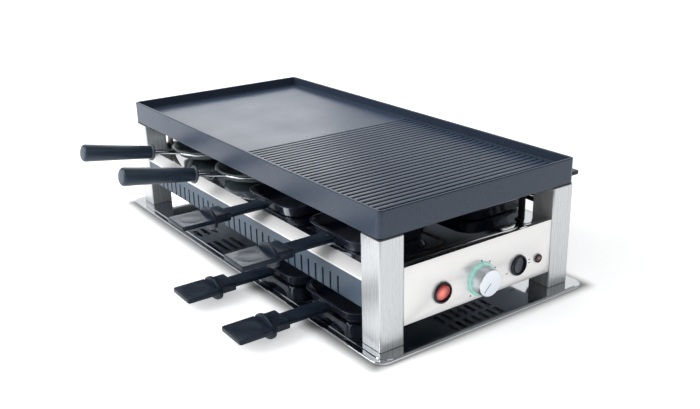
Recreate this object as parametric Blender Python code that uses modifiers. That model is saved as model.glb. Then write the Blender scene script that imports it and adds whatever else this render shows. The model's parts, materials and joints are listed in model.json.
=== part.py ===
# Table raclette grill: lift-off grill plate on four posts, a heated bay with raclette pans and
# mini woks, a control housing under the bay, and a base tray with room for parked pans.
# Metres, +Z up. +X points to the control panel, -Y to the long side that shows the woks.
# The origin lies on the table under the middle of the plate.

import math

import bmesh
import bpy
from mathutils import Matrix, Vector

# Driving dimensions
plateLength = 0.530
plateWidth = 0.250
overallHeight = 0.1417
postSide = 0.028
trayMarginX = 0.0147
trayMarginY = 0.0128
footHeight = 0.0027
stripRise = 0.0057
elementDrop = 0.0095

# Levels as shares of the overall height
plateSideShare = 0.1849
skirtUnderShare = 0.2597
stripLowShare = 0.4806
panelLowShare = 0.1623
panelHighShare = 0.57304
controlShare = 0.30205

# Clearances and the overrun of every cutter
seatGap = 0.0003
slideGap = 0.0005
cutOverrun = 0.002
weldDistance = 0.00001

# Sheet thickness and steps of round shapes, used by more than one piece
sheet = 0.0012
cornerSteps = 4
roundSteps = 24
smallRoundSteps = 16
wireSteps = 1

# Planes and levels that the pieces share
halfLength = plateLength / 2
halfWidth = plateWidth / 2
postInnerX = halfLength - postSide
postInnerY = halfWidth - postSide
postMidX = halfLength - postSide / 2
postMidY = halfWidth - postSide / 2
trayUnderZ = footHeight + seatGap
trayFloorZ = trayUnderZ + sheet
postFootZ = trayFloorZ + seatGap
plateUnderZ = overallHeight * (1 - plateSideShare)
elementHeight = plateUnderZ - elementDrop
skirtUnderHeight = overallHeight * skirtUnderShare
stripLowHeight = overallHeight * stripLowShare
shelfHeight = stripLowHeight + stripRise
panelLowHeight = overallHeight * panelLowShare
panelHighHeight = overallHeight * panelHighShare
controlHeight = overallHeight * controlShare
sideSigns = (-1, 1)
corners = [(signX, signY) for signX in sideSigns for signY in sideSigns]


for oldObject in list(bpy.data.objects):
    bpy.data.objects.remove(oldObject, do_unlink=True)

grillCollection = bpy.data.collections.new("raclette_grill")
cutterCollection = bpy.data.collections.new("cutters")
for collection in (grillCollection, cutterCollection):
    bpy.context.scene.collection.children.link(collection)


# Materials

def makeMaterial(name, colour, roughness, metallic, transmission=0.0, glow=0.0):
    material = bpy.data.materials.new(name)
    material.use_nodes = True
    shader = material.node_tree.nodes["Principled BSDF"]
    shader.inputs["Base Color"].default_value = (*colour, 1)
    shader.inputs["Roughness"].default_value = roughness
    shader.inputs["Metallic"].default_value = metallic
    shader.inputs["Transmission Weight"].default_value = transmission
    shader.inputs["Emission Color"].default_value = (*colour, 1)
    shader.inputs["Emission Strength"].default_value = glow
    material.diffuse_color = (*colour, 1)
    return material


brushedSteel = makeMaterial("brushed_steel", (0.66, 0.66, 0.65), 0.32, 1.0)
mirrorSteel = makeMaterial("mirror_steel", (0.70, 0.71, 0.72), 0.06, 1.0)
skirtPaint = makeMaterial("skirt_paint", (0.10, 0.13, 0.16), 0.42, 0.3)
plateCoating = makeMaterial("plate_coating", (0.055, 0.063, 0.075), 0.36, 0.2)
panEnamel = makeMaterial("pan_enamel", (0.012, 0.012, 0.015), 0.16, 0.0)
wokCoating = makeMaterial("wok_coating", (0.10, 0.12, 0.12), 0.34, 0.2)
handlePlastic = makeMaterial("handle_plastic", (0.018, 0.021, 0.026), 0.40, 0.0)
wireChrome = makeMaterial("wire_chrome", (0.82, 0.83, 0.84), 0.10, 1.0)
blackPlastic = makeMaterial("black_plastic", (0.012, 0.012, 0.013), 0.30, 0.0)
footRubber = makeMaterial("foot_rubber", (0.020, 0.020, 0.021), 0.75, 0.0)
knobSilver = makeMaterial("knob_silver", (0.74, 0.76, 0.80), 0.28, 0.7)
ringGreen = makeMaterial("ring_green", (0.10, 0.62, 0.36), 0.25, 0.0, 0.3, 0.4)
rockerRed = makeMaterial("rocker_red", (0.80, 0.05, 0.03), 0.20, 0.0, 0.2, 0.6)
lampRed = makeMaterial("lamp_red", (0.30, 0.02, 0.03), 0.15, 0.0, 0.2)
elementSteel = makeMaterial("element_steel", (0.10, 0.10, 0.10), 0.50, 0.9)
carrierSteel = makeMaterial("carrier_steel", (0.16, 0.16, 0.17), 0.45, 0.9)
screwSteel = makeMaterial("screw_steel", (0.55, 0.55, 0.56), 0.25, 1.0)
ceramic = makeMaterial("ceramic", (0.82, 0.80, 0.74), 0.55, 0.0)
wireSleeve = makeMaterial("wire_sleeve", (0.55, 0.12, 0.08), 0.6, 0.0)
fuseAluminium = makeMaterial("fuse_aluminium", (0.75, 0.75, 0.76), 0.4, 1.0)


# Shape helpers

def addObject(name, mesh, material, collection=None):
    madeObject = bpy.data.objects.new(name, mesh)
    (collection or grillCollection).objects.link(madeObject)
    if material:
        mesh.materials.clear()
        mesh.materials.append(material)
    return madeObject


def finishMesh(bm, name):
    bmesh.ops.recalc_face_normals(bm, faces=bm.faces)
    mesh = bpy.data.meshes.new(name)
    bm.to_mesh(mesh)
    bm.free()
    return mesh


def smoothMesh(mesh):
    mesh.shade_smooth()
    mesh.set_sharp_from_angle(angle=math.radians(35))


def roundedRectangle(halfX, halfY, radius, steps=cornerSteps):
    # Corner arcs, counterclockwise from the +X +Y corner
    points = []
    centres = [(halfX - radius, halfY - radius, 0), (radius - halfX, halfY - radius, 1),
               (radius - halfX, radius - halfY, 2), (halfX - radius, radius - halfY, 3)]
    for centreX, centreY, quarter in centres:
        for step in range(steps + 1):
            angle = (quarter + step / steps) * math.pi / 2
            points.append((centreX + radius * math.cos(angle), centreY + radius * math.sin(angle)))
    return points


def stackOutlines(outlines):
    # Extrudes a cap from outline to outline; all of them have the same number of points
    bm = bmesh.new()
    cap = bm.faces.new([bm.verts.new(point) for point in outlines[0]])
    for outline in outlines[1:]:
        grown = bmesh.ops.extrude_face_region(bm, geom=[cap])["geom"]
        if cap.is_valid and len(outlines) > 2 and outline is not outlines[1]:
            bm.faces.remove(cap)
        cap = next(item for item in grown if isinstance(item, bmesh.types.BMFace))
        for vert, point in zip(cap.verts, outline):
            vert.co = point
    return bm


def levelOutline(halfX, halfY, radius, height, centre=(0, 0), steps=cornerSteps):
    return [(centre[0] + x, centre[1] + y, height)
            for x, y in roundedRectangle(halfX, halfY, radius, steps)]


def boxMesh(name, low, high):
    bm = bmesh.new()
    bmesh.ops.create_cube(bm, size=1)
    low, high = Vector(low), Vector(high)
    bmesh.ops.scale(bm, vec=high - low, verts=bm.verts)
    bmesh.ops.translate(bm, vec=(low + high) / 2, verts=bm.verts)
    return finishMesh(bm, name)


def axisMatrix(axis):
    # Turns +Z to the named axis
    if axis == "X":
        return Matrix.Rotation(math.pi / 2, 4, "Y")
    if axis == "Y":
        return Matrix.Rotation(-math.pi / 2, 4, "X")
    return Matrix.Identity(4)


def cylinderMesh(name, radius, low, high, centre, axis="Z", steps=roundSteps):
    # A cylinder along the axis from low to high; centre gives its place on the other two
    bm = bmesh.new()
    bmesh.ops.create_cone(bm, cap_ends=True, segments=steps, radius1=radius, radius2=radius,
                          depth=high - low)
    bmesh.ops.rotate(bm, matrix=axisMatrix(axis), verts=bm.verts)
    middle = Vector(centre)
    middle["XYZ".index(axis)] = (low + high) / 2
    bmesh.ops.translate(bm, vec=middle, verts=bm.verts)
    return finishMesh(bm, name)


def prismMesh(name, outline, low, high):
    # An outline in Y and Z, extruded along X
    bm = bmesh.new()
    face = bm.faces.new([bm.verts.new((low, y, z)) for y, z in outline])
    grown = bmesh.ops.extrude_face_region(bm, geom=[face])["geom"]
    newVerts = [item for item in grown if isinstance(item, bmesh.types.BMVert)]
    bmesh.ops.translate(bm, vec=(high - low, 0, 0), verts=newVerts)
    return finishMesh(bm, name)


def joinMeshes(name, meshes):
    # Separate closed shells in one mesh, for a cutter
    bm = bmesh.new()
    for mesh in meshes:
        bm.from_mesh(mesh)
    return finishMesh(bm, name)


def applyBoolean(target, cutterMesh, operation):
    cutter = addObject(target.name + "_" + operation.lower(), cutterMesh, None, cutterCollection)
    cutter.hide_render = True
    cutter.display_type = "WIRE"
    modifier = target.modifiers.new(operation.lower(), "BOOLEAN")
    modifier.operation = operation
    modifier.object = cutter
    return cutter


def cut(target, *meshes):
    return applyBoolean(target, joinMeshes(target.name + "_cutter", meshes), "DIFFERENCE")


def fuse(target, mesh):
    return applyBoolean(target, mesh, "UNION")


def turned(name, profile, material, steps=roundSteps):
    # Turns a profile of radius and height about the object's own Z axis
    bm = bmesh.new()
    verts = [bm.verts.new((radius, 0, height)) for radius, height in profile]
    for first, second in zip(verts, verts[1:]):
        bm.edges.new((first, second))
    mesh = bpy.data.meshes.new(name)
    bm.to_mesh(mesh)
    bm.free()
    madeObject = addObject(name, mesh, material)
    screw = madeObject.modifiers.new("turn", "SCREW")
    screw.steps = steps
    screw.render_steps = steps
    screw.use_merge_vertices = True
    screw.merge_threshold = weldDistance
    screw.use_smooth_shade = True
    return madeObject


def turnedMesh(name, profile, steps=roundSteps):
    # The same turned shape as a plain mesh, for Booleans
    temporary = turned(name + "_turned", profile, None, steps)
    graph = bpy.context.evaluated_depsgraph_get()
    graph.update()
    mesh = bpy.data.meshes.new_from_object(temporary.evaluated_get(graph))
    bpy.data.objects.remove(temporary, do_unlink=True)
    bm = bmesh.new()
    bm.from_mesh(mesh)
    bmesh.ops.remove_doubles(bm, verts=bm.verts, dist=weldDistance)
    return finishMesh(bm, name)


def arcPoints(centre, radius, start, end, steps):
    return [(centre[0] + radius * math.cos(math.radians(start + (end - start) * step / steps)),
             centre[1] + radius * math.sin(math.radians(start + (end - start) * step / steps)))
            for step in range(steps + 1)]


def roundedPath(points, radius, steps):
    # Replaces each inner corner of a path by an arc that touches both of its legs
    points = [Vector(point) for point in points]
    path = [points[0]]
    for before, corner, after in zip(points, points[1:], points[2:]):
        legIn = (before - corner).normalized()
        legOut = (after - corner).normalized()
        half = legIn.angle(legOut) / 2
        reach = radius / math.tan(half)
        towards = (legIn + legOut).normalized()
        centre = corner + towards * radius / math.sin(half)
        start = corner + legIn * reach - centre
        turn = start.cross(corner + legOut * reach - centre).normalized()
        sweep = math.pi - 2 * half
        for step in range(steps + 1):
            path.append(centre + Matrix.Rotation(sweep * step / steps, 3, turn) @ start)
    path.append(points[-1])
    return path


def wire(name, points, radius, material):
    curve = bpy.data.curves.new(name, "CURVE")
    curve.dimensions = "3D"
    curve.bevel_depth = radius
    curve.bevel_resolution = wireSteps
    curve.use_fill_caps = True
    spline = curve.splines.new("POLY")
    spline.points.add(len(points) - 1)
    for place, point in zip(spline.points, points):
        place.co = (*point, 1)
    spline.use_smooth = True
    curve.materials.append(material)
    madeObject = bpy.data.objects.new(name, curve)
    grillCollection.objects.link(madeObject)
    return madeObject


# Base tray: a mirror plate with a slightly lower border and an edge turned down to the table

trayCornerRadius = 0.0130
trayEdgeRadius = 0.0012
trayBorderX = 0.0038
trayBorderY = 0.0075
trayBorderDrop = 0.0007
trayEdgeClear = 0.0006
footStudRadius = 0.0025
studHoleRadius = footStudRadius + slideGap
trayHalfX = halfLength + trayMarginX
trayHalfY = halfWidth + trayMarginY


def trayOutline(insetX, insetY, height):
    radius = max(trayCornerRadius - insetX, trayEdgeRadius)
    return levelOutline(trayHalfX - insetX, trayHalfY - insetY, radius, height)


def makeBaseTray():
    borderZ = trayFloorZ - trayBorderDrop
    step = sheet + trayBorderDrop
    outlines = [trayOutline(trayBorderX + step, trayBorderY + step, trayUnderZ),
                trayOutline(trayBorderX + sheet, trayBorderY + sheet, borderZ - sheet),
                trayOutline(sheet, sheet, borderZ - sheet),
                trayOutline(sheet, sheet, trayEdgeClear),
                trayOutline(0, 0, trayEdgeClear),
                trayOutline(0, 0, borderZ - trayEdgeRadius),
                trayOutline(trayEdgeRadius / 4, trayEdgeRadius / 4, borderZ - trayEdgeRadius / 4),
                trayOutline(trayEdgeRadius, trayEdgeRadius, borderZ),
                trayOutline(trayBorderX, trayBorderY, borderZ),
                trayOutline(trayBorderX + trayBorderDrop, trayBorderY + trayBorderDrop,
                            trayFloorZ)]
    tray = addObject("base_tray", finishMesh(stackOutlines(outlines), "base_tray"), mirrorSteel)
    smoothMesh(tray.data)
    cut(tray, *[cylinderMesh("stud_hole", studHoleRadius, trayUnderZ - cutOverrun,
                             trayFloorZ + cutOverrun,
                             (signX * postMidX, signY * postMidY, 0), steps=smallRoundSteps)
                for signX, signY in corners])


# Feet: rubber pads whose studs pass through the tray into the post feet

footRadius = 0.011
footEdge = 0.0008
footStudReach = 0.0050


def makeFeet():
    studTop = postFootZ + postFootPlate + footStudReach
    profile = [(0, studTop),
               (footStudRadius, studTop),
               (footStudRadius, footHeight),
               (footRadius - footEdge, footHeight),
               (footRadius, footHeight - footEdge),
               (footRadius, footEdge),
               (footRadius - footEdge, 0),
               (0, 0)]
    for number, (signX, signY) in enumerate(corners, 1):
        foot = turned(f"foot_{number}", profile, footRubber, smallRoundSteps)
        foot.location = (signX * postMidX, signY * postMidY, 0)


# Posts: square steel tubes with a plate welded in at the foot

postWall = 0.0015
postEdgeRadius = 0.0015
postFootPlate = 0.0020
capFlange = 0.0012
postTopZ = plateUnderZ - seatGap - capFlange - seatGap
postHalf = postSide / 2
leadHoleRadius = 0.0042
wireHoleRadius = 0.0060
wireHoleDrop = 0.0121
wireHoleHeight = stripLowHeight - wireHoleDrop
leadRise = 0.0187
leadHeight = shelfHeight + leadRise


def makePosts():
    innerHalf = postHalf - postWall
    outlines = [levelOutline(postHalf, postHalf, postEdgeRadius, height, steps=2)
                for height in (postFootZ, postTopZ)]
    outlines += [levelOutline(innerHalf, innerHalf, postEdgeRadius / 3, height, steps=2)
                 for height in (postTopZ, postFootZ + postFootPlate)]
    mesh = finishMesh(stackOutlines(outlines), "post")
    smoothMesh(mesh)
    for number, (signX, signY) in enumerate(corners, 1):
        post = addObject(f"post_{number}", mesh.copy(), brushedSteel)
        post.location = (signX * postMidX, signY * postMidY, 0)
        holes = [cylinderMesh("stud_hole", studHoleRadius, postFootZ - cutOverrun,
                              postFootZ + postFootPlate + cutOverrun,
                              (signX * postMidX, signY * postMidY, 0), steps=smallRoundSteps)]
        if (signX, signY) == (1, 1):
            wallLow = postInnerX - cutOverrun
            wallHigh = postInnerX + postWall + cutOverrun
            holes += [cylinderMesh("lead_hole", leadHoleRadius, wallLow, wallHigh,
                                   (0, leadY, leadHeight), "X", smallRoundSteps)
                      for leadY in elementLeadYs]
            holes.append(cylinderMesh("wire_hole", wireHoleRadius, wallLow, wallHigh,
                                      (0, postMidY, wireHoleHeight), "X", smallRoundSteps))
        cut(post, *holes)


# Post caps: black pads under the plate, each with a plug in the post and a locating block

capPlugDepth = 0.008
capBlockHeight = 0.0050
capBlockSide = 0.016
capFlangeInset = 0.0004
plateWall = 0.0032


def makePostCaps():
    plugHalf = postHalf - postWall - seatGap
    flangeLow = postTopZ + seatGap
    flangeHigh = flangeLow + capFlange
    flangeHalf = postHalf - capFlangeInset
    blockHigh = flangeHigh + capBlockHeight
    blockShift = postHalf - plateWall - slideGap - capBlockSide / 2
    blockHalf = capBlockSide / 2
    for number, (signX, signY) in enumerate(corners, 1):
        block = (signX * blockShift, signY * blockShift)
        outlines = [levelOutline(plugHalf, plugHalf, postEdgeRadius / 3, flangeLow - capPlugDepth,
                                 steps=1),
                    levelOutline(plugHalf, plugHalf, postEdgeRadius / 3, flangeLow, steps=1),
                    levelOutline(flangeHalf, flangeHalf, postEdgeRadius, flangeLow, steps=1),
                    levelOutline(flangeHalf, flangeHalf, postEdgeRadius, flangeHigh, steps=1),
                    levelOutline(blockHalf, blockHalf, postEdgeRadius, flangeHigh, block, steps=1),
                    levelOutline(blockHalf, blockHalf, postEdgeRadius, blockHigh, block, steps=1)]
        cap = addObject(f"post_cap_{number}", finishMesh(stackOutlines(outlines), "post_cap"),
                        blackPlastic)
        cap.location = (signX * postMidX, signY * postMidY, 0)


# Grill plate: cast, smooth on one half and ribbed on the other, walls all round

plateCornerRadius = 0.0050
plateFloorDepth = 0.0110
plateFloorThickness = 0.0060
plateRimEdge = 0.0008
plateFillet = 0.0030
ribHeight = 0.0020
ribPitch = 0.0080
ribTopWidth = 0.0056
ribFootWidth = 0.0066
ribEndMargin = 0.0060
ribStartX = 0.0020


def plateOutline(inset, height):
    return levelOutline(halfLength - inset, halfWidth - inset,
                        max(plateCornerRadius - inset, plateRimEdge), height)


def ribMesh(x, length, floorZ):
    lowZ = floorZ - ribHeight / 2
    topZ = floorZ + ribHeight
    halfFoot = ribFootWidth / 2
    halfTop = ribTopWidth / 2
    outline = [(-halfFoot, lowZ), (halfFoot, lowZ), (halfTop, topZ), (-halfTop, topZ)]
    bm = bmesh.new()
    face = bm.faces.new([bm.verts.new((x + across, -length / 2, z)) for across, z in outline])
    grown = bmesh.ops.extrude_face_region(bm, geom=[face])["geom"]
    newVerts = [item for item in grown if isinstance(item, bmesh.types.BMVert)]
    bmesh.ops.translate(bm, vec=(0, length, 0), verts=newVerts)
    return finishMesh(bm, "rib")


def makeGrillPlate():
    floorZ = overallHeight - plateFloorDepth
    underZ = floorZ - plateFloorThickness
    outlines = [plateOutline(plateWall + plateFillet, underZ),
                plateOutline(plateWall, underZ - plateFillet),
                plateOutline(plateWall, plateUnderZ),
                plateOutline(plateRimEdge, plateUnderZ),
                plateOutline(0, plateUnderZ + plateRimEdge),
                plateOutline(0, overallHeight - plateRimEdge),
                plateOutline(plateRimEdge, overallHeight),
                plateOutline(plateWall - plateRimEdge, overallHeight),
                plateOutline(plateWall, overallHeight - plateRimEdge),
                plateOutline(plateWall, floorZ + plateFillet),
                plateOutline(plateWall + plateFillet, floorZ)]
    plate = addObject("grill_plate", finishMesh(stackOutlines(outlines), "grill_plate"),
                      plateCoating)
    smoothMesh(plate.data)
    ribEndX = halfLength - plateWall - ribEndMargin
    ribCount = math.floor((ribEndX - ribStartX) / ribPitch)
    ribLength = plateWidth - 2 * (plateWall + ribEndMargin)
    ribs = [ribMesh(ribStartX + ribPitch * (number + 1 / 2), ribLength, floorZ)
            for number in range(ribCount)]
    fuse(plate, joinMeshes("ribs", ribs))


# Shelf: mirror top of the housing, with a brushed sloping strip along each long side

stripInset = 0.0012
stripDepth = 0.0135
stripHalfOuter = halfWidth - stripInset
stripHalfInner = stripHalfOuter - stripDepth
stripLip = 0.0020


def postCutters(low, high):
    meshes = []
    for signX, signY in corners:
        nearX = signX * (postInnerX - seatGap)
        nearY = signY * (postInnerY - seatGap)
        farX = signX * (halfLength + cutOverrun)
        farY = signY * (halfWidth + cutOverrun)
        meshes.append(boxMesh("post_cutter", (min(nearX, farX), min(nearY, farY), low),
                              (max(nearX, farX), max(nearY, farY), high)))
    return meshes


panelInset = 0.0010
panelBackX = halfLength - panelInset - sheet
controlBoxDepth = 0.0135
controlBoxSlope = 0.0185
controlBoxBackX = halfLength - panelInset - controlBoxDepth - controlBoxSlope
controlBoxTopZ = skirtUnderHeight - seatGap
controlBoxRise = controlBoxTopZ - panelLowHeight
# Width of the sloping sheet where a level line crosses it
controlBoxSlant = sheet * math.hypot(controlBoxSlope, controlBoxRise) / controlBoxRise


def makeShelf():
    half = [(stripHalfInner, shelfHeight), (stripHalfOuter, stripLowHeight),
            (stripHalfOuter, stripLowHeight - stripLip),
            (stripHalfOuter - sheet, stripLowHeight - stripLip),
            (stripHalfOuter - sheet, stripLowHeight - sheet / 2),
            (stripHalfInner - sheet / 2, shelfHeight - sheet)]
    outline = half + [(-y, z) for y, z in reversed(half)]
    endX = panelBackX - seatGap
    shelf = addObject("shelf", prismMesh("shelf", outline, -endX, endX), mirrorSteel)
    cut(shelf, *postCutters(stripLowHeight - stripLip - cutOverrun, shelfHeight + cutOverrun))


# Housing skirt: a painted channel with vents that run round its lower bends

skirtInset = 0.0015
skirtHalf = halfWidth - skirtInset
skirtBend = 0.0040
skirtTopZ = stripLowHeight - stripLip - seatGap
ventCount = 32
ventWidth = 0.0030
ventTopMargin = 0.0086
ventTopZ = skirtTopZ - ventTopMargin
ventEndInset = 0.0388
ventBottomReach = 0.0140
# Floor vents: columns as (middle, length), rows one floorVentPitch apart
floorVentPitch = 0.0110
floorVentWidth = 0.0052
endVentColumns = ((0.2235, 0.0150), (0.2017, 0.0175))
endVentStartY = 0.0019
endVentCount = 7
longVentColumn = (-0.1215, 0.0410)
shortVentColumn = (-0.1795, 0.0250)
sideVentStartY = 0.0620
sideVentCount = 4


def channelOutline(half, low, bend, steps=3):
    right = [(half, skirtTopZ)] + arcPoints((half - bend, low + bend), bend, 0, -90, steps)
    return right + [(-y, z) for y, z in reversed(right)]


def makeHousingSkirt():
    endX = panelBackX - seatGap
    outer = channelOutline(skirtHalf, skirtUnderHeight, skirtBend)
    inner = channelOutline(skirtHalf - sheet, skirtUnderHeight + sheet, skirtBend - sheet)
    outline = outer + list(reversed(inner))
    skirt = addObject("housing_skirt", prismMesh("housing_skirt", outline, -endX, endX),
                      skirtPaint)
    cutters = postCutters(skirtUnderHeight - cutOverrun, skirtTopZ + cutOverrun)
    firstVent = postInnerX - ventEndInset
    ventPitch = firstVent / ((ventCount - 1) / 2)
    floorLow = skirtUnderHeight - cutOverrun
    floorHigh = skirtUnderHeight + sheet + cutOverrun
    for number in range(ventCount):
        x = ventPitch * number - firstVent
        for sign in sideSigns:
            ys = sorted((sign * (skirtHalf + cutOverrun), sign * (skirtHalf - ventBottomReach)))
            cutters.append(boxMesh("vent", (x - ventWidth / 2, ys[0], floorLow),
                                   (x + ventWidth / 2, ys[1], ventTopZ)))
    floorRows = [(column, endVentStartY, endVentCount, 1) for column in endVentColumns]
    for sign in sideSigns:
        floorRows.append((longVentColumn, sideVentStartY, sideVentCount, sign))
        # The short column stands half a pitch off, between the rows of the long one
        floorRows.append((shortVentColumn, sideVentStartY + floorVentPitch / 2,
                          sideVentCount - 1, sign))
    for (middle, length), startY, count, sign in floorRows:
        for number in range(count):
            y = sign * (startY + floorVentPitch * number)
            cutters.append(boxMesh(
                "floor_vent", (middle - length / 2, y - floorVentWidth / 2, floorLow),
                (middle + length / 2, y + floorVentWidth / 2, floorHigh)))
    cut(skirt, *cutters)
    # The floor stops where the control panel's folded box takes over
    openingX = controlBoxBackX + controlBoxSlant + seatGap
    cut(skirt, boxMesh("box_opening", (openingX, -halfWidth, floorLow),
                       (halfLength + cutOverrun, halfWidth, floorHigh)))


# End panels: brushed sheets between the posts with short returns; the control panel is also
# folded under the controls and slopes up to the housing floor

panelReturn = 0.0080
panelHalfY = postInnerY - seatGap
powerShare = -0.3984
selectorShare = 0.4104
lampShare = 0.636
powerY = halfWidth * powerShare
selectorY = halfWidth * selectorShare
lampY = halfWidth * lampShare
switchBarrelRadius = 0.0098
switchHoleRadius = switchBarrelRadius + slideGap
shaftBushRadius = 0.0048
shaftHoleRadius = shaftBushRadius + slideGap
lampBarrelRadius = 0.0034
lampHoleRadius = lampBarrelRadius + slideGap
glandShare = 0.48
glandRise = 0.0152
glandY = halfWidth * glandShare
glandZ = skirtUnderHeight + glandRise
glandNeckRadius = 0.0065
glandHoleRadius = glandNeckRadius + slideGap


def panelMesh(name, lowFold):
    # Face at +X, returns towards the middle of the grill, the lower one ends in lowFold
    outerX = halfLength - panelInset
    outline = [(outerX, panelLowHeight), (outerX, panelHighHeight),
               (outerX - panelReturn, panelHighHeight),
               (outerX - panelReturn, panelHighHeight - sheet),
               (panelBackX, panelHighHeight - sheet),
               (panelBackX, panelLowHeight + sheet)] + lowFold
    bm = bmesh.new()
    face = bm.faces.new([bm.verts.new((x, -panelHalfY, z)) for x, z in outline])
    grown = bmesh.ops.extrude_face_region(bm, geom=[face])["geom"]
    newVerts = [item for item in grown if isinstance(item, bmesh.types.BMVert)]
    bmesh.ops.translate(bm, vec=(0, 2 * panelHalfY, 0), verts=newVerts)
    return finishMesh(bm, name)


def panelHole(radius, y, z, sign=1, steps=roundSteps):
    ends = sorted((sign * (panelBackX - cutOverrun), sign * (halfLength + cutOverrun)))
    return cylinderMesh("panel_hole", radius, ends[0], ends[1], (0, y, z), "X", steps)


def makeEndPanels():
    bendX = halfLength - panelInset - controlBoxDepth
    innerBendX = bendX + controlBoxSlant - sheet * controlBoxSlope / controlBoxRise
    front = addObject("control_panel", panelMesh("control_panel", [
        (innerBendX, panelLowHeight + sheet), (controlBoxBackX + controlBoxSlant, controlBoxTopZ),
        (controlBoxBackX, controlBoxTopZ), (bendX, panelLowHeight)]), brushedSteel)
    cut(front, panelHole(switchHoleRadius, powerY, controlHeight),
        panelHole(switchHoleRadius, selectorY, controlHeight),
        panelHole(shaftHoleRadius, 0, controlHeight, steps=smallRoundSteps),
        panelHole(lampHoleRadius, lampY, controlHeight, steps=smallRoundSteps))
    lowX = halfLength - panelInset - panelReturn
    rearMesh = panelMesh("rear_panel", [
        (lowX + sheet, panelLowHeight + sheet), (lowX + sheet, controlBoxTopZ),
        (lowX, controlBoxTopZ), (lowX, panelLowHeight)])
    rearMesh.transform(Matrix.Rotation(math.pi, 4, "Z"))
    rear = addObject("rear_panel", rearMesh, brushedSteel)
    cut(rear, panelHole(glandHoleRadius, glandY, glandZ, -1, smallRoundSteps))


# Round switches: a bezel with a barrel through the panel and a tilting rocker in it

panelFaceX = halfLength - panelInset
bezelRadius = 0.0110
bezelHeight = 0.0020
bezelEdge = 0.0008
barrelDepth = 0.0150
rockerRadius = 0.0086
rockerWellDepth = 0.0054
rockerThickness = 0.0028
rockerTilt = math.radians(8)
rockerClear = 0.0004
rockerTurnRoom = 0.0014


def makeSwitch(name, y, material, pivotAxis):
    wellRadius = rockerRadius + rockerClear
    faceX = panelFaceX + seatGap
    profile = [(0, bezelHeight - rockerWellDepth),
               (wellRadius, bezelHeight - rockerWellDepth),
               (wellRadius, bezelHeight),
               (bezelRadius - bezelEdge, bezelHeight),
               (bezelRadius, bezelHeight - bezelEdge),
               (bezelRadius, 0),
               (switchBarrelRadius, 0),
               (switchBarrelRadius, -barrelDepth),
               (0, -barrelDepth)]
    body = turned(name + "_body", profile, blackPlastic)
    body.location = (faceX, y, controlHeight)
    body.rotation_euler = (0, math.pi / 2, 0)
    # The rocker is a short drum with bevelled rims, tilted about a pivot in the bezel
    radii = (rockerRadius - bezelEdge, rockerRadius, rockerRadius, rockerRadius - bezelEdge)
    backX = bezelHeight - rockerWellDepth + rockerTurnRoom
    levels = (backX, backX + bezelEdge, backX + rockerThickness - bezelEdge,
              backX + rockerThickness)
    outlines = [[(level, radius * math.cos(2 * math.pi * step / smallRoundSteps),
                  radius * math.sin(2 * math.pi * step / smallRoundSteps))
                 for step in range(smallRoundSteps)] for radius, level in zip(radii, levels)]
    mesh = finishMesh(stackOutlines(outlines), name + "_rocker")
    pivotX = bezelHeight - rockerWellDepth / 2
    mesh.transform(Matrix.Translation((-pivotX, 0, 0)))
    mesh.transform(Matrix.Scale(1 - 2 * rockerClear / rockerRadius, 4, Vector(pivotSide(pivotAxis))))
    mesh.transform(Matrix.Rotation(rockerTilt, 4, pivotAxis))
    smoothMesh(mesh)
    rocker = addObject(name + "_rocker", mesh, material)
    rocker.location = (faceX + pivotX, y, controlHeight)


def pivotSide(pivotAxis):
    # The direction in the panel that is square to the pivot
    return (0, 0, 1) if pivotAxis == "Y" else (0, 1, 0)


# Thermostat: body behind the panel, a bush through it, a shaft, the ring and the knob

thermostatSide = 0.030
thermostatDepth = 0.014
bushReach = 0.0030
shaftRadius = 0.0030
shaftClear = 0.0002
shaftBoreRadius = shaftRadius + shaftClear
shaftReach = 0.0105
shaftTail = 0.0100
ringRadius = 0.0174
ringHeight = 0.0020
ringBore = 0.0060
knobRadius = 0.0150
knobTipRadius = 0.0141
knobHeight = 0.0107
knobEdge = 0.0010
knobSkirtGap = 0.0005
pointerWidth = 0.0016
pointerDepth = 0.0008
pointerAngle = math.radians(225)


def makeThermostat():
    halfSide = thermostatSide / 2
    bodyX = panelBackX - seatGap
    body = addObject("thermostat_body", boxMesh(
        "thermostat_body", (bodyX - thermostatDepth, -halfSide, controlHeight - halfSide),
        (bodyX, halfSide, controlHeight + halfSide)), carrierSteel)
    fuse(body, cylinderMesh("bush", shaftBushRadius, bodyX - thermostatDepth / 2,
                            panelFaceX + bushReach, (0, 0, controlHeight), "X",
                            smallRoundSteps))
    cut(body, cylinderMesh("shaft_bore", shaftBoreRadius, bodyX - shaftTail - seatGap,
                           panelFaceX + bushReach + cutOverrun, (0, 0, controlHeight), "X",
                           smallRoundSteps))
    shaft = addObject("thermostat_shaft", cylinderMesh(
        "thermostat_shaft", shaftRadius, bodyX - shaftTail - panelFaceX, shaftReach, (0, 0, 0),
        "X", smallRoundSteps), screwSteel)
    shaft.location = (panelFaceX, 0, controlHeight)
    smoothMesh(shaft.data)
    ring = turned("knob_ring", [(ringBore, ringHeight), (ringRadius - knobEdge, ringHeight),
                                (ringRadius, ringHeight / 2), (ringRadius, 0), (ringBore, 0),
                                (ringBore, ringHeight)], ringGreen)
    ring.location = (panelFaceX + seatGap, 0, controlHeight)
    ring.rotation_euler = (0, math.pi / 2, 0)


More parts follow.
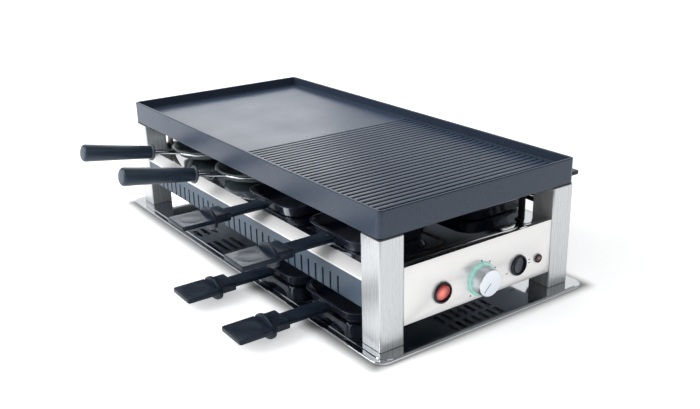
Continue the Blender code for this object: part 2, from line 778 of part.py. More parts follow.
def makeKnob():
    lowX = ringHeight + seatGap + knobSkirtGap
    highX = lowX + knobHeight
    boreRadius = shaftRadius + seatGap
    pocketRadius = shaftBushRadius + slideGap
    pocketEnd = bushReach + slideGap + knobEdge
    boreEnd = shaftReach + seatGap
    profile = [(0, highX),
               (knobTipRadius - knobEdge, highX),
               (knobTipRadius, highX - knobEdge),
               (knobRadius, lowX),
               (pocketRadius, lowX),
               (pocketRadius, pocketEnd),
               (boreRadius, pocketEnd),
               (boreRadius, boreEnd),
               (0, boreEnd)]
    mesh = turnedMesh("knob", profile)
    mesh.transform(axisMatrix("X"))
    smoothMesh(mesh)
    knob = addObject("knob", mesh, knobSilver)
    knob.location = (panelFaceX, 0, controlHeight)
    groove = boxMesh("pointer", (highX - pointerDepth, -pointerWidth / 2, 0),
                     (highX + cutOverrun, pointerWidth / 2, knobTipRadius - 2 * knobEdge))
    groove.transform(Matrix.Rotation(pointerAngle - math.pi / 2, 4, "X"))
    groove.transform(Matrix.Translation(knob.location))
    cut(knob, groove)


# Lamp, mains gland, terminal block and thermal fuse

lampLensRadius = 0.0046
lampLensHeight = 0.0022
lampDepth = 0.012
glandFlangeRadius = 0.0100
glandFlangeHeight = 0.0030
glandNoseHeight = 0.0090
glandNoseRadius = 0.0075
glandDepth = 0.0080
glandBore = 0.0034
terminalSize = (0.030, 0.018, 0.014)
terminalInset = 0.0220
terminalShare = 0.448
terminalX = terminalInset - postInnerX
terminalY = halfWidth * terminalShare
terminalHoleRadius = 0.0022
terminalPitch = 0.010
fuseRadius = 0.0045
fuseLength = 0.020
fuseInset = 0.0320
fuseShare = 0.68
fuseX = postInnerX - fuseInset
fuseY = halfWidth * fuseShare
housingFloorZ = skirtUnderHeight + sheet + seatGap


def makeLamp():
    profile = [(0, lampLensHeight), (lampLensRadius / 2, lampLensHeight - lampLensHeight / 6),
               (lampLensRadius, lampLensHeight / 3), (lampLensRadius, 0), (lampBarrelRadius, 0),
               (lampBarrelRadius, -lampDepth), (0, -lampDepth)]
    lamp = turned("indicator_lamp", profile, lampRed, smallRoundSteps)
    lamp.location = (panelFaceX + seatGap, lampY, controlHeight)
    lamp.rotation_euler = (0, math.pi / 2, 0)


def makeGland():
    profile = [(glandBore, glandFlangeHeight + glandNoseHeight),
               (glandNoseRadius - bezelEdge, glandFlangeHeight + glandNoseHeight),
               (glandNoseRadius, glandFlangeHeight), (glandFlangeRadius, glandFlangeHeight),
               (glandFlangeRadius, 0), (glandNeckRadius, 0), (glandNeckRadius, -glandDepth),
               (glandBore, -glandDepth), (glandBore, glandFlangeHeight + glandNoseHeight)]
    gland = turned("cord_gland", profile, blackPlastic, smallRoundSteps)
    gland.location = (-panelFaceX - seatGap, glandY, glandZ)
    gland.rotation_euler = (0, -math.pi / 2, 0)


def makeTerminalBlock():
    sizeX, sizeY, sizeZ = terminalSize
    block = addObject("terminal_block", boxMesh(
        "terminal_block", (terminalX - sizeX / 2, terminalY - sizeY / 2, housingFloorZ),
        (terminalX + sizeX / 2, terminalY + sizeY / 2, housingFloorZ + sizeZ)), ceramic)
    cut(block, *[cylinderMesh("clamp_hole", terminalHoleRadius, terminalX - sizeX,
                              terminalX + sizeX,
                              (0, terminalY + shift * terminalPitch / 2,
                               housingFloorZ + sizeZ / 2), "X", smallRoundSteps)
                 for shift in sideSigns])


def makeThermalFuse():
    fuseZ = housingFloorZ + fuseRadius
    thermalFuse = addObject("thermal_fuse", cylinderMesh(
        "thermal_fuse", fuseRadius, fuseX - fuseLength / 2, fuseX + fuseLength / 2,
        (0, fuseY, fuseZ), "X", smallRoundSteps), fuseAluminium)
    smoothMesh(thermalFuse.data)


# Heating element: one sheathed tube in four runs, its ends bent down into the control post

elementRadius = 0.0032
runShares = (0.6, 0.2, -0.2, -0.6)
elementEndInset = 0.0230
elementTurnInset = 0.0370
elementCrossInset = 0.0170
elementBend = 0.0120
leadOffsets = (0.0060, -0.0070)
leadReach = 0.0080
leadDropInset = 0.0320
elementRunYs = [halfWidth * share for share in runShares]
elementEndX = halfLength - elementEndInset
elementTurnX = postInnerX - elementTurnInset
elementCrossX = postInnerX - elementCrossInset
elementLeadYs = [postMidY + offset for offset in leadOffsets]
leadEndX = postInnerX + leadReach
leadDropX = postInnerX - leadDropInset


def uTurn(x, firstY, secondY, z, sign, steps=6):
    # Half circle that joins two runs at one end of the element
    radius = abs(firstY - secondY) / 2
    middle = (firstY + secondY) / 2
    side = 1 if firstY > secondY else -1
    return [(x - sign * radius + sign * radius * math.sin(math.pi * step / steps),
             middle + side * radius * math.cos(math.pi * step / steps), z)
            for step in range(steps + 1)]


def makeHeatingElement():
    z = elementHeight
    first, second, third, fourth = elementRunYs
    entry = roundedPath([(leadEndX, elementLeadYs[0], leadHeight),
                         (leadDropX, elementLeadYs[0], leadHeight),
                         (leadDropX - elementBend, elementLeadYs[0], z),
                         (leadDropX - 3 * elementBend, first, z),
                         (0, first, z)], elementRadius * 2, 2)[:-1]
    middle = uTurn(-elementEndX, first, second, z, -1)
    middle += uTurn(elementTurnX, second, third, z, 1)
    middle += uTurn(-elementEndX, third, fourth, z, -1)
    leaving = roundedPath([(0, fourth, z), (elementCrossX, fourth, z),
                           (elementCrossX, elementLeadYs[1] - elementBend, z),
                           (elementCrossX, elementLeadYs[1], leadHeight),
                           (leadEndX, elementLeadYs[1], leadHeight)],
                          elementRadius * 1.5, 2)[1:]
    wire("heating_element", entry + middle + leaving, elementRadius, elementSteel)


# Element carriers: sheet bars on two legs, under the ends of the element

leftBarReaches = (0.0250, 0.0008)
leftLegReaches = (0.0170, 0.0020)
rightBarInsets = (0.0310, 0.0008)
rightLegInsets = (0.0102, 0.0013)
carrierSideGap = 0.0090
carrierSpans = ([-postInnerX - reach for reach in leftBarReaches],
                [postInnerX - inset for inset in rightBarInsets])
carrierLegSpans = ([-postInnerX - reach for reach in leftLegReaches],
                   [postInnerX - inset for inset in rightLegInsets])
carrierHalfY = postInnerY - carrierSideGap
carrierFoot = 0.0060
carrierHoleLength = 0.0400
carrierHoleShare = 0.4


def makeElementCarriers():
    topZ = elementHeight - elementRadius - seatGap
    lowZ = shelfHeight + seatGap
    legTop = topZ - sheet / 2
    barHalfY = carrierHalfY - sheet / 3
    for name, span, legSpan in zip(("element_carrier_left", "element_carrier_right"),
                                   carrierSpans, carrierLegSpans):
        carrier = addObject(name, boxMesh(name, (span[0], -barHalfY, topZ - sheet),
                                          (span[1], barHalfY, topZ)), carrierSteel)
        middleX = (span[0] + span[1]) / 2
        halfHole = (span[1] - span[0]) * carrierHoleShare / 2
        cut(carrier, *[boxMesh("lightening_hole",
                               (middleX - halfHole, y - carrierHoleLength / 2,
                                topZ - sheet - cutOverrun),
                               (middleX + halfHole, y + carrierHoleLength / 2,
                                topZ + cutOverrun))
                       for y in (-carrierHalfY / 2, carrierHalfY / 2)])
        # One bent strip at each end: up from a foot on the shelf, into the bar
        for sign in sideSigns:
            outer = sign * carrierHalfY
            inner = sign * (carrierHalfY - sheet)
            toe = sign * (carrierHalfY - carrierFoot)
            outline = [(outer, lowZ), (outer, legTop), (inner, legTop), (inner, lowZ + sheet),
                       (toe, lowZ + sheet), (toe, lowZ)]
            fuse(carrier, prismMesh("leg", outline, legSpan[0], legSpan[1]))


# Internal wires, each along its own route through the housing

innerWireRadius = 0.0012
wireBend = 0.0060
wireFloorZ = housingFloorZ + innerWireRadius + seatGap
wireLift = 0.0060
switchBackX = panelFaceX + seatGap - barrelDepth - seatGap
feedShare = -0.24
returnShare = 0.864
feedY = halfWidth * feedShare
returnY = halfWidth * returnShare


def makeInternalWires():
    terminalEnd = terminalX + terminalSize[0] / 2
    clampZ = housingFloorZ + terminalSize[2] / 2
    clampYs = [terminalY + shift * terminalPitch / 2 for shift in sideSigns]
    inClamp = terminalEnd - terminalSize[0] / 3
    postWireX = postMidX + 2 * innerWireRadius
    thermostatBack = panelBackX - seatGap - thermostatDepth - seatGap
    fuseZ = housingFloorZ + fuseRadius
    leadTouchX = leadEndX + seatGap
    wireRows = (postMidY - 2 * innerWireRadius, postMidY + 2 * innerWireRadius)
    wire("wire_feed", roundedPath([(inClamp, clampYs[0], clampZ),
                                   (terminalEnd + 2 * wireBend, clampYs[0], clampZ),
                                   (terminalEnd + 4 * wireBend, feedY, wireFloorZ + wireLift),
                                   (switchBackX - 4 * wireBend, feedY, wireFloorZ + wireLift),
                                   (switchBackX - 2 * wireBend, powerY, controlHeight),
                                   (switchBackX, powerY, controlHeight)], wireBend, 3),
         innerWireRadius, wireSleeve)
    wire("wire_return", roundedPath([(inClamp, clampYs[1], clampZ),
                                     (terminalEnd + 2 * wireBend, clampYs[1], clampZ),
                                     (terminalEnd + 5 * wireBend, returnY, clampZ + wireLift),
                                     (postInnerX - 4 * wireBend, returnY, clampZ + wireLift),
                                     (postInnerX - wireBend, wireRows[1], wireHoleHeight),
                                     (postWireX, wireRows[1], wireHoleHeight),
                                     (postWireX, elementLeadYs[0], leadHeight),
                                     (leadTouchX, elementLeadYs[0], leadHeight)],
                                    wireBend / 2, 3), innerWireRadius, wireSleeve)
    wire("wire_thermostat_to_fuse", roundedPath([(thermostatBack, 0, controlHeight),
                                                 (thermostatBack - 2 * wireBend, 0, controlHeight),
                                                 (fuseX - fuseLength, fuseY / 2, fuseZ),
                                                 (fuseX - fuseLength, fuseY, fuseZ),
                                                 (fuseX - fuseLength / 2 - seatGap, fuseY, fuseZ)],
                                                wireBend / 2, 3), innerWireRadius, wireSleeve)
    wire("wire_fuse_to_element", roundedPath([(fuseX + fuseLength / 2 + seatGap, fuseY, fuseZ),
                                              (fuseX + fuseLength, fuseY, fuseZ),
                                              (postInnerX - wireBend, wireRows[0],
                                               wireHoleHeight - wireBend / 3),
                                              (postMidX, wireRows[0],
                                               wireHoleHeight - wireBend / 3),
                                              (postMidX, elementLeadYs[1], leadHeight),
                                              (leadTouchX, elementLeadYs[1], leadHeight)],
                                             wireBend / 2, 3), innerWireRadius, wireSleeve)


# Raclette pans: a pressed rounded-square pan with a tang, a moulded handle and a screw

panShare = 0.18113
panTaper = 0.0060
panHalf = halfLength * panShare
panBaseHalf = panHalf - panTaper
panDepth = 0.0140
panSheet = 0.0010
panFlange = 0.0020
panRimRadius = 0.0190
panBaseRadius = 0.0140
panBaseEdge = 0.0025
tangWidth = 0.0140
tangLowZ = 0.0078
tangThickness = 0.0012
tangReach = 0.0630
screwReach = 0.0570
tangEndY = panHalf + tangReach
panScrewY = panHalf + screwReach
panScrewRadius = 0.0014
panScrewClear = 0.0002
panScrewHoleRadius = panScrewRadius + panScrewClear
panScrewHeadRadius = 0.0026
panScrewHeadHeight = 0.0012
gripReach = 0.1060
handleTipY = panHalf + gripReach
gripHalfWidth = 0.0185
gripLowZ = 0.0072
gripTopZ = 0.0120
gripDishDepth = 0.0009
gripTipRound = 0.0016
guardReach = 0.0705
guardTipY = panHalf + guardReach
guardThickness = 0.0040
guardLowZ = -0.0036
guardTopZ = 0.0192
socketHalfWidth = 0.0145
socketLowZ = 0.0046
socketTopZ = 0.0138
socketReach = 0.0490
socketEndY = panHalf + socketReach
socketEdge = 0.0024
shaftHalfWidth = 0.0105
shaftLowZ = 0.0064
shaftTopZ = 0.0104
shaftStartGap = 0.0010
handleEdge = 0.0010
sectionStep = 0.0004
guardAngleShares = (1 / 12, 1 / 2, 11 / 12)


def panMesh():
    flangeIn = panHalf - panFlange
    outlines = [levelOutline(panBaseHalf - panBaseEdge, panBaseHalf - panBaseEdge,
                             panBaseRadius - panBaseEdge, 0),
                levelOutline(panBaseHalf, panBaseHalf, panBaseRadius, panBaseEdge / 2),
                levelOutline(flangeIn, flangeIn, panRimRadius - panFlange, panDepth - panSheet),
                levelOutline(panHalf, panHalf, panRimRadius, panDepth - panSheet),
                levelOutline(panHalf, panHalf, panRimRadius, panDepth),
                levelOutline(flangeIn - panSheet, flangeIn - panSheet,
                             panRimRadius - panFlange - panSheet, panDepth),
                levelOutline(panBaseHalf - panSheet, panBaseHalf - panSheet,
                             panBaseRadius - panSheet, panSheet + panBaseEdge / 2),
                levelOutline(panBaseHalf - panBaseEdge - panSheet,
                             panBaseHalf - panBaseEdge - panSheet,
                             panBaseRadius - panBaseEdge - panSheet, panSheet)]
    mesh = finishMesh(stackOutlines(outlines), "raclette_pan")
    smoothMesh(mesh)
    return mesh


def wallHalfAt(height):
    # Outer half width of the pan's sloping wall at a height above its base
    share = (height - panBaseEdge / 2) / (panDepth - panSheet - panBaseEdge / 2)
    return panBaseHalf + (panHalf - panFlange - panBaseHalf) * share


def sectionOutline(y, halfX, lowZ, highZ, edge):
    # Twelve points of a rectangle with two-step rounded corners, square to Y
    middleZ = (lowZ + highZ) / 2
    points = roundedRectangle(halfX, (highZ - lowZ) / 2, edge, 2)
    return [(x, y, middleZ + z) for x, z in points]


def guardOutline(y):
    # Twelve points of the oval guard, matched to the section's points by their angles
    middleZ = (guardLowZ + guardTopZ) / 2
    points = []
    for quarter in range(4):
        for share in guardAngleShares:
            angle = (quarter + share) * math.pi / 2
            points.append((gripHalfWidth * math.cos(angle), y,
                           middleZ + (guardTopZ - guardLowZ) / 2 * math.sin(angle)))
    return points


def handleMesh():
    tip = -handleTipY
    guardFar = -guardTipY
    guardNear = guardFar + guardThickness
    socketEnd = -socketEndY
    shaftEnd = -(panHalf + shaftStartGap)
    dishTop = gripTopZ - gripDishDepth
    before = [(tip, gripHalfWidth - gripTipRound, gripLowZ + handleEdge, gripTopZ - handleEdge),
              (tip + gripTipRound, gripHalfWidth, gripLowZ, gripTopZ),
              (tip + 3 * gripTipRound, gripHalfWidth, gripLowZ, gripTopZ),
              (tip + 4 * gripTipRound, gripHalfWidth, gripLowZ, dishTop),
              (guardFar - 3 * gripTipRound, gripHalfWidth, gripLowZ, dishTop),
              (guardFar - sectionStep, gripHalfWidth, gripLowZ, gripTopZ)]
    socket = [(guardNear + sectionStep, socketHalfWidth, socketLowZ, socketTopZ),
              (socketEnd - socketEdge, socketHalfWidth, socketLowZ, socketTopZ),
              (socketEnd, socketHalfWidth - handleEdge, socketLowZ + handleEdge,
               socketTopZ - handleEdge)]
    after = [(socketEnd + sectionStep, shaftHalfWidth, shaftLowZ, shaftTopZ),
             (shaftEnd, shaftHalfWidth, shaftLowZ, shaftTopZ)]
    outlines = [sectionOutline(*section, handleEdge) for section in before]
    outlines += [guardOutline(guardFar), guardOutline(guardNear)]
    outlines += [sectionOutline(*section, socketEdge) for section in socket]
    outlines += [sectionOutline(*section, handleEdge) for section in after]
    mesh = finishMesh(stackOutlines(outlines), "pan_handle")
    smoothMesh(mesh)
    return mesh


def tangMeshes():
    # The tang with its start inside the pan wall, and the slot that it needs in the handle
    wallY = -wallHalfAt(tangLowZ + tangThickness / 2)
    halfTang = tangWidth / 2
    tang = boxMesh("tang", (-halfTang, -tangEndY, tangLowZ),
                   (halfTang, wallY + panSheet, tangLowZ + tangThickness))
    slot = boxMesh("tang_slot", (-halfTang - seatGap, -tangEndY - seatGap, tangLowZ - seatGap),
                   (halfTang + seatGap, -panHalf, tangLowZ + tangThickness + seatGap))
    return tang, slot


def screwHole(low, high, radius):
    return cylinderMesh("screw_hole", radius, low, high, (0, -panScrewY, 0),
                        steps=smallRoundSteps)


def makeRaclettePans():
    pan, handle = panMesh(), handleMesh()
    headTop = socketLowZ + panScrewHeadHeight
    screwTop = socketTopZ - panScrewHeadHeight
    profile = [(0, screwTop), (panScrewRadius, screwTop), (panScrewRadius, headTop),
               (panScrewHeadRadius, headTop), (panScrewHeadRadius - panScrewRadius / 3, socketLowZ),
               (0, socketLowZ)]
    for number, (x, y, z, turn) in enumerate(racletteStations, 1):
        place = Matrix.Translation((x, y, z)) @ Matrix.Rotation(turn, 4, "Z")
        tang, slot = tangMeshes()
        panObject = addObject(f"raclette_pan_{number}", pan.copy(), panEnamel)
        handleObject = addObject(f"pan_handle_{number}", handle.copy(), handlePlastic)
        screw = turned(f"pan_screw_{number}", profile, screwSteel, smallRoundSteps)
        screw.location = place @ Vector((0, -panScrewY, 0))
        for part in (panObject, handleObject):
            part.matrix_world = place
        fused = fuse(panObject, tang)
        panHole = cut(panObject, screwHole(tangLowZ - cutOverrun / 2,
                                           tangLowZ + tangThickness + cutOverrun / 2,
                                           panScrewHoleRadius))
        handleCut = cut(handleObject, slot)
        shankCut = cut(handleObject, screwHole(socketLowZ - cutOverrun, screwTop + seatGap,
                                               panScrewHoleRadius))
        headCut = cut(handleObject, screwHole(socketLowZ - cutOverrun, headTop + seatGap,
                                              panScrewHeadRadius + seatGap))
        for cutter in (fused, panHole, handleCut, shankCut, headCut):
            cutter.matrix_world = place


# Mini woks: a shallow round bowl in a wire frame whose prongs enter a round handle

wokShare = 0.17736
wokShoulderInset = 0.0080
wokBaseInset = 0.0250
wokRimRadius = halfLength * wokShare
wokFlange = 0.0022
wokDepth = 0.0165
wokSheet = 0.0010
wokBaseRadius = wokRimRadius - wokBaseInset
wokShoulderRadius = wokRimRadius - wokShoulderInset
wokShoulderHeight = 0.0062
wokWireRadius = 0.0013
wokHandleTilt = math.radians(10)
wokHandleLength = 0.0900
wokHandleReach = 0.0310
wokHandleStartY = wokRimRadius + wokHandleReach
prongSpread = 0.0050
prongRootX = 0.0110
prongDepth = 0.0200
wokHandleTipRadius = 0.0105
wokHandleNeckRadius = 0.0080
wokCollarRadius = 0.0104
wokCollarLength = 0.0034
wokHandleEdge = 0.0020


def bowlRadiusAt(height):
    # Outer radius of the bowl's upper wall at a height above its base
    share = (height - wokShoulderHeight) / (wokDepth - wokSheet - wokShoulderHeight)
    return wokShoulderRadius + (wokRimRadius - wokFlange - wokShoulderRadius) * share


def bowlProfile():
    wallTop = wokRimRadius - wokFlange
    return [(0, wokSheet),
            (wokBaseRadius, wokSheet),
            (wokShoulderRadius - wokSheet, wokShoulderHeight + wokSheet / 2),
            (wallTop - wokSheet, wokDepth),
            (wokRimRadius, wokDepth),
            (wokRimRadius, wokDepth - wokSheet),
            (wallTop, wokDepth - wokSheet),
            (wokShoulderRadius, wokShoulderHeight),
            (wokBaseRadius, 0),
            (0, 0)]


def wokFramePath():
    # One wire: up out of the handle, round the bowl under its flange, and back
    ringZ = wokDepth - wokSheet - wokWireRadius - seatGap
    ringRadius = bowlRadiusAt(ringZ + wokWireRadius) + wokWireRadius + seatGap
    rootAngle = math.asin(prongRootX / ringRadius)
    rootY = -ringRadius * math.cos(rootAngle)
    startY = -wokHandleStartY - prongDepth * math.cos(wokHandleTilt)
    slope = math.tan(wokHandleTilt)

    def onSlope(x, y):
        return (x, y, ringZ + (rootY - y) * slope)

    ringSteps = 26
    sweep = 2 * math.pi - 2 * rootAngle
    ring = []
    for step in range(ringSteps + 1):
        angle = -math.pi / 2 + rootAngle + sweep * step / ringSteps
        ring.append((ringRadius * math.cos(angle), ringRadius * math.sin(angle), ringZ))
    inHandle = onSlope(prongSpread, startY)
    atCollar = onSlope(prongSpread, -wokHandleStartY + wokWireRadius)
    mirrored = [(-x, y, z) for x, y, z in (atCollar, inHandle)]
    return [inHandle, atCollar] + ring + mirrored, atCollar[2]


def wokHandleProfile():
    length = wokHandleLength
    return [(0, 0),
            (wokCollarRadius - wokHandleEdge / 2, 0),
            (wokCollarRadius, -wokHandleEdge / 2),
            (wokCollarRadius, -wokCollarLength),
            (wokHandleNeckRadius, -wokCollarLength - wokHandleEdge / 2),
            (wokHandleTipRadius, -length + 2 * wokHandleEdge),
            (wokHandleTipRadius - wokHandleEdge / 2, -length + wokHandleEdge / 2),
            (wokHandleTipRadius - wokHandleEdge, -length),
            (0, -length)]


def makeMiniWoks():
    path, collarZ = wokFramePath()
    boreRadius = wokWireRadius + seatGap
    for number, (x, y, z) in enumerate(wokStations, 1):
        place = Matrix.Translation((x, y, z))
        bowl = turned(f"wok_bowl_{number}", bowlProfile(), wokCoating)
        bowl.location = (x, y, z)
        frameObject = wire(f"wok_frame_{number}", path, wokWireRadius, wireChrome)
        frameObject.location = (x, y, z)
        tilt = Matrix.Translation((0, -wokHandleStartY, collarZ))
        tilt = tilt @ Matrix.Rotation(math.pi / 2 + wokHandleTilt, 4, "X").inverted()
        mesh = turnedMesh("wok_handle", wokHandleProfile(), 20)
        mesh.transform(tilt)
        smoothMesh(mesh)
        handle = addObject(f"wok_handle_{number}", mesh, handlePlastic)
        handle.location = (x, y, z)
        bores = []
        for side in sideSigns:
            bore = cylinderMesh("prong_bore", boreRadius, -prongDepth - cutOverrun, cutOverrun,
                                (side * prongSpread, 0, 0), steps=12)
            bore.transform(place @ tilt)
            bores.append(bore)
        cut(handle, *bores)


# Where each pan and wok stands: four near places in the bay, two parked, one on the far side

upperPanZ = shelfHeight + seatGap
parkedPanZ = trayFloorZ + seatGap
panShares = ((0.15849, -0.488), (0.61887, -0.488), (0.23396, -0.568), (0.63396, -0.568),
             (0.62642, 0.632))
panLevels = (upperPanZ, upperPanZ, parkedPanZ, parkedPanZ, upperPanZ)
wokShares = ((-0.69811, -0.492), (-0.25283, -0.48))
racletteStations = [(halfLength * shareX, halfWidth * shareY, level, math.pi if shareY > 0 else 0)
                    for (shareX, shareY), level in zip(panShares, panLevels)]
wokStations = [(halfLength * shareX, halfWidth * shareY, upperPanZ)
               for shareX, shareY in wokShares]


makeBaseTray()
makeFeet()
makePosts()
makePostCaps()
makeGrillPlate()
makeShelf()
makeHousingSkirt()
makeEndPanels()
makeSwitch("power_switch", powerY, rockerRed, "Y")
makeSwitch("selector_switch", selectorY, blackPlastic, "Z")
makeThermostat()
makeKnob()
makeLamp()
makeGland()
makeTerminalBlock()
makeThermalFuse()
makeHeatingElement()
makeElementCarriers()
makeInternalWires()
makeRaclettePans()
makeMiniWoks()
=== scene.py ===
import json
import math

import bmesh
import bpy
from mathutils import Matrix, Vector

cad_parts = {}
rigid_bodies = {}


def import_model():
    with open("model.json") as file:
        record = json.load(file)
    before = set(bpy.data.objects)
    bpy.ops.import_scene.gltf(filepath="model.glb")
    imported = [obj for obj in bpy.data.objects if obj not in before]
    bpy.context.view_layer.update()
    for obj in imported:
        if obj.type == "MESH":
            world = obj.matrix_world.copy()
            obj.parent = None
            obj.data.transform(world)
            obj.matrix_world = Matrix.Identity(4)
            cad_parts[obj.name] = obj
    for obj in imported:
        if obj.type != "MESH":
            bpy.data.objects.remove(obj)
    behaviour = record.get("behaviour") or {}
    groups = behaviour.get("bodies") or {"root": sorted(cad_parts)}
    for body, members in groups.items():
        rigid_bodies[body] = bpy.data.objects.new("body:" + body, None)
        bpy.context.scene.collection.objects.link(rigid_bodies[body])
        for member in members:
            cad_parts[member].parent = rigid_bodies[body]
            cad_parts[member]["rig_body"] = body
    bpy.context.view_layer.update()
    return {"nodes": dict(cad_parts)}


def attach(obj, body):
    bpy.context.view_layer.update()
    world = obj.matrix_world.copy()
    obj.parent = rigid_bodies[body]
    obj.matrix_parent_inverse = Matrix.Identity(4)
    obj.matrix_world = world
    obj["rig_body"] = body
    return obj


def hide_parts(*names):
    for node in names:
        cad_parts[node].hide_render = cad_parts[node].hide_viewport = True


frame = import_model()
nodes = frame["nodes"]
print("frame loaded:", len(nodes), "nodes")


def newObject(name, data):
    made = bpy.data.objects.new(name, data)
    bpy.context.scene.collection.objects.link(made)
    return made


# Camera, at the photograph's viewpoint
cameraSizes = {"eye": (0.8051, -0.5390, 0.3986), "azimuth": 54.597, "elevation": 20.144,
               "roll": -1.175, "lens": 43.96, "sensor": 36.0, "near": 0.01}


def placeCamera():
    azimuth, elevation, roll = (math.radians(cameraSizes[key])
                                for key in ("azimuth", "elevation", "roll"))
    back = Vector((math.sin(azimuth) * math.cos(elevation),
                   -math.cos(azimuth) * math.cos(elevation), math.sin(elevation)))
    level = Vector((math.cos(azimuth), math.sin(azimuth), 0))
    upright = back.cross(level)
    right = math.cos(roll) * level + math.sin(roll) * upright
    up = math.cos(roll) * upright - math.sin(roll) * level
    data = bpy.data.cameras.new("camera")
    data.sensor_width = cameraSizes["sensor"]
    data.lens = cameraSizes["lens"]
    data.clip_start = cameraSizes["near"]
    camera = newObject("camera", data)
    turn = Matrix((right, up, back)).transposed().to_4x4()
    camera.matrix_world = Matrix.Translation(cameraSizes["eye"]) @ turn
    bpy.context.scene.camera = camera


# Material helpers: a plain Principled material, a few nodes in common, then kinds of detail

def newMaterial(name, colour, roughness, metallic=0.0, sockets=None):
    material = bpy.data.materials.new(name)
    material.use_nodes = True
    shader = material.node_tree.nodes["Principled BSDF"]
    shader.inputs["Base Color"].default_value = (*colour, 1)
    shader.inputs["Roughness"].default_value = roughness
    shader.inputs["Metallic"].default_value = metallic
    for socket, value in (sockets or {}).items():
        shader.inputs[socket].default_value = value
    material.diffuse_color = (*colour, 1)
    return material


def onObject(tree, texture, scale=(1, 1, 1), location=(0, 0, 0), kind="POINT"):
    # Lays a texture on the object's own coordinates
    coordinates = tree.nodes.new("ShaderNodeTexCoord")
    mapping = tree.nodes.new("ShaderNodeMapping")
    mapping.vector_type = kind
    mapping.inputs["Scale"].default_value = scale
    mapping.inputs["Location"].default_value = location
    tree.links.new(coordinates.outputs["Object"], mapping.inputs["Vector"])
    tree.links.new(mapping.outputs["Vector"], texture.inputs["Vector"])


def ranged(tree, value, fromLow, fromHigh, low, high):
    ranger = tree.nodes.new("ShaderNodeMapRange")
    for socket, number in (("From Min", fromLow), ("From Max", fromHigh), ("To Min", low),
                           ("To Max", high)):
        ranger.inputs[socket].default_value = number
    tree.links.new(value, ranger.inputs["Value"])
    return ranger


def ramped(tree, value, stops):
    # Colours by a value; stops are positions with their colours
    ramp = tree.nodes.new("ShaderNodeValToRGB")
    for stop, (position, colour) in zip(ramp.color_ramp.elements, stops):
        stop.position = position
        stop.color = (*colour, 1)
    tree.links.new(value, ramp.inputs["Fac"])
    return ramp.outputs["Color"]


def combined(tree, operation, first, second):
    node = tree.nodes.new("ShaderNodeMath")
    node.operation = operation
    tree.links.new(first, node.inputs[0])
    tree.links.new(second, node.inputs[1])
    return node.outputs["Value"]


def grain(material, scale, stretch=(1, 1, 1), detail=4.0):
    # Noise, drawn out where stretch is small
    tree = material.node_tree
    noise = tree.nodes.new("ShaderNodeTexNoise")
    noise.inputs["Scale"].default_value = scale
    noise.inputs["Detail"].default_value = detail
    onObject(tree, noise, stretch)
    return noise.outputs["Fac"]


noiseLow, noiseHigh = 0.3, 0.7   # the part of a noise's range that its detail fills


def spread(material, fac, socket, low, high):
    tree = material.node_tree
    ranger = ranged(tree, fac, noiseLow, noiseHigh, low, high)
    tree.links.new(ranger.outputs["Result"], tree.nodes["Principled BSDF"].inputs[socket])


def tint(material, fac, first, second):
    tree = material.node_tree
    colours = ramped(tree, fac, ((noiseLow, first), (noiseHigh, second)))
    tree.links.new(colours, tree.nodes["Principled BSDF"].inputs["Base Color"])


def mottle(material, fac, colour, dark, light, low, high):
    # One noise shades the colour between two shares of it and sets the gloss
    spread(material, fac, "Roughness", low, high)
    tint(material, fac, [value * dark for value in colour],
         [min(value * light, 1.0) for value in colour])


def relief(material, fac, depth, strength=1.0):
    tree = material.node_tree
    bump = tree.nodes.new("ShaderNodeBump")
    bump.inputs["Distance"].default_value = depth
    bump.inputs["Strength"].default_value = strength
    shader = tree.nodes["Principled BSDF"]
    if shader.inputs["Normal"].is_linked:
        before = shader.inputs["Normal"].links[0].from_socket
        tree.links.new(before, bump.inputs["Normal"])
    tree.links.new(fac, bump.inputs["Height"])
    tree.links.new(bump.outputs["Normal"], shader.inputs["Normal"])


coolTint = (0.78, 0.88, 1.0, 1)


def brushedSteel(name, along, colour, metallic, low, high):
    # Long fine scratches along one axis, over a slow change of sheen
    stretch = [1.0 if axis == along else 90.0 for axis in "XYZ"]
    material = newMaterial(name, colour, low, metallic)
    fine = grain(material, 30.0, stretch, 6.0)
    mottle(material, fine, colour, 0.965, 1.015, low, high)
    relief(material, fine, 0.0000010)
    relief(material, grain(material, 9.0), 0.00015, 0.15)
    return material


def moulded(name, colour, roughness, depth=0.00004, sockets=None):
    # Moulded plastic or rubber: fine skin texture and slightly uneven gloss
    material = newMaterial(name, colour, roughness, 0.0, sockets)
    relief(material, grain(material, 1400.0, detail=2.0), depth, 0.6)
    mottle(material, grain(material, 60.0), colour, 0.85, 1.15, roughness * 0.85,
           roughness * 1.2)
    return material


def mirrorSteel(name):
    material = newMaterial(name, (0.62, 0.64, 0.67), 0.05, 1.0)
    smear = grain(material, 14.0, (1.0, 2.5, 1.0), 5.0)
    spread(material, smear, "Roughness", 0.035, 0.10)
    tint(material, smear, (0.60, 0.62, 0.65), (0.66, 0.68, 0.70))
    relief(material, grain(material, 6.0), 0.0003, 0.12)
    return material


def skirtPaint(name):
    material = newMaterial(name, (0.080, 0.117, 0.163), 0.42, 0.25)
    relief(material, grain(material, 700.0, detail=2.0), 0.00004, 0.5)
    cloud = grain(material, 25.0)
    spread(material, cloud, "Roughness", 0.36, 0.50)
    tint(material, cloud, (0.072, 0.106, 0.149), (0.088, 0.128, 0.177))
    return material


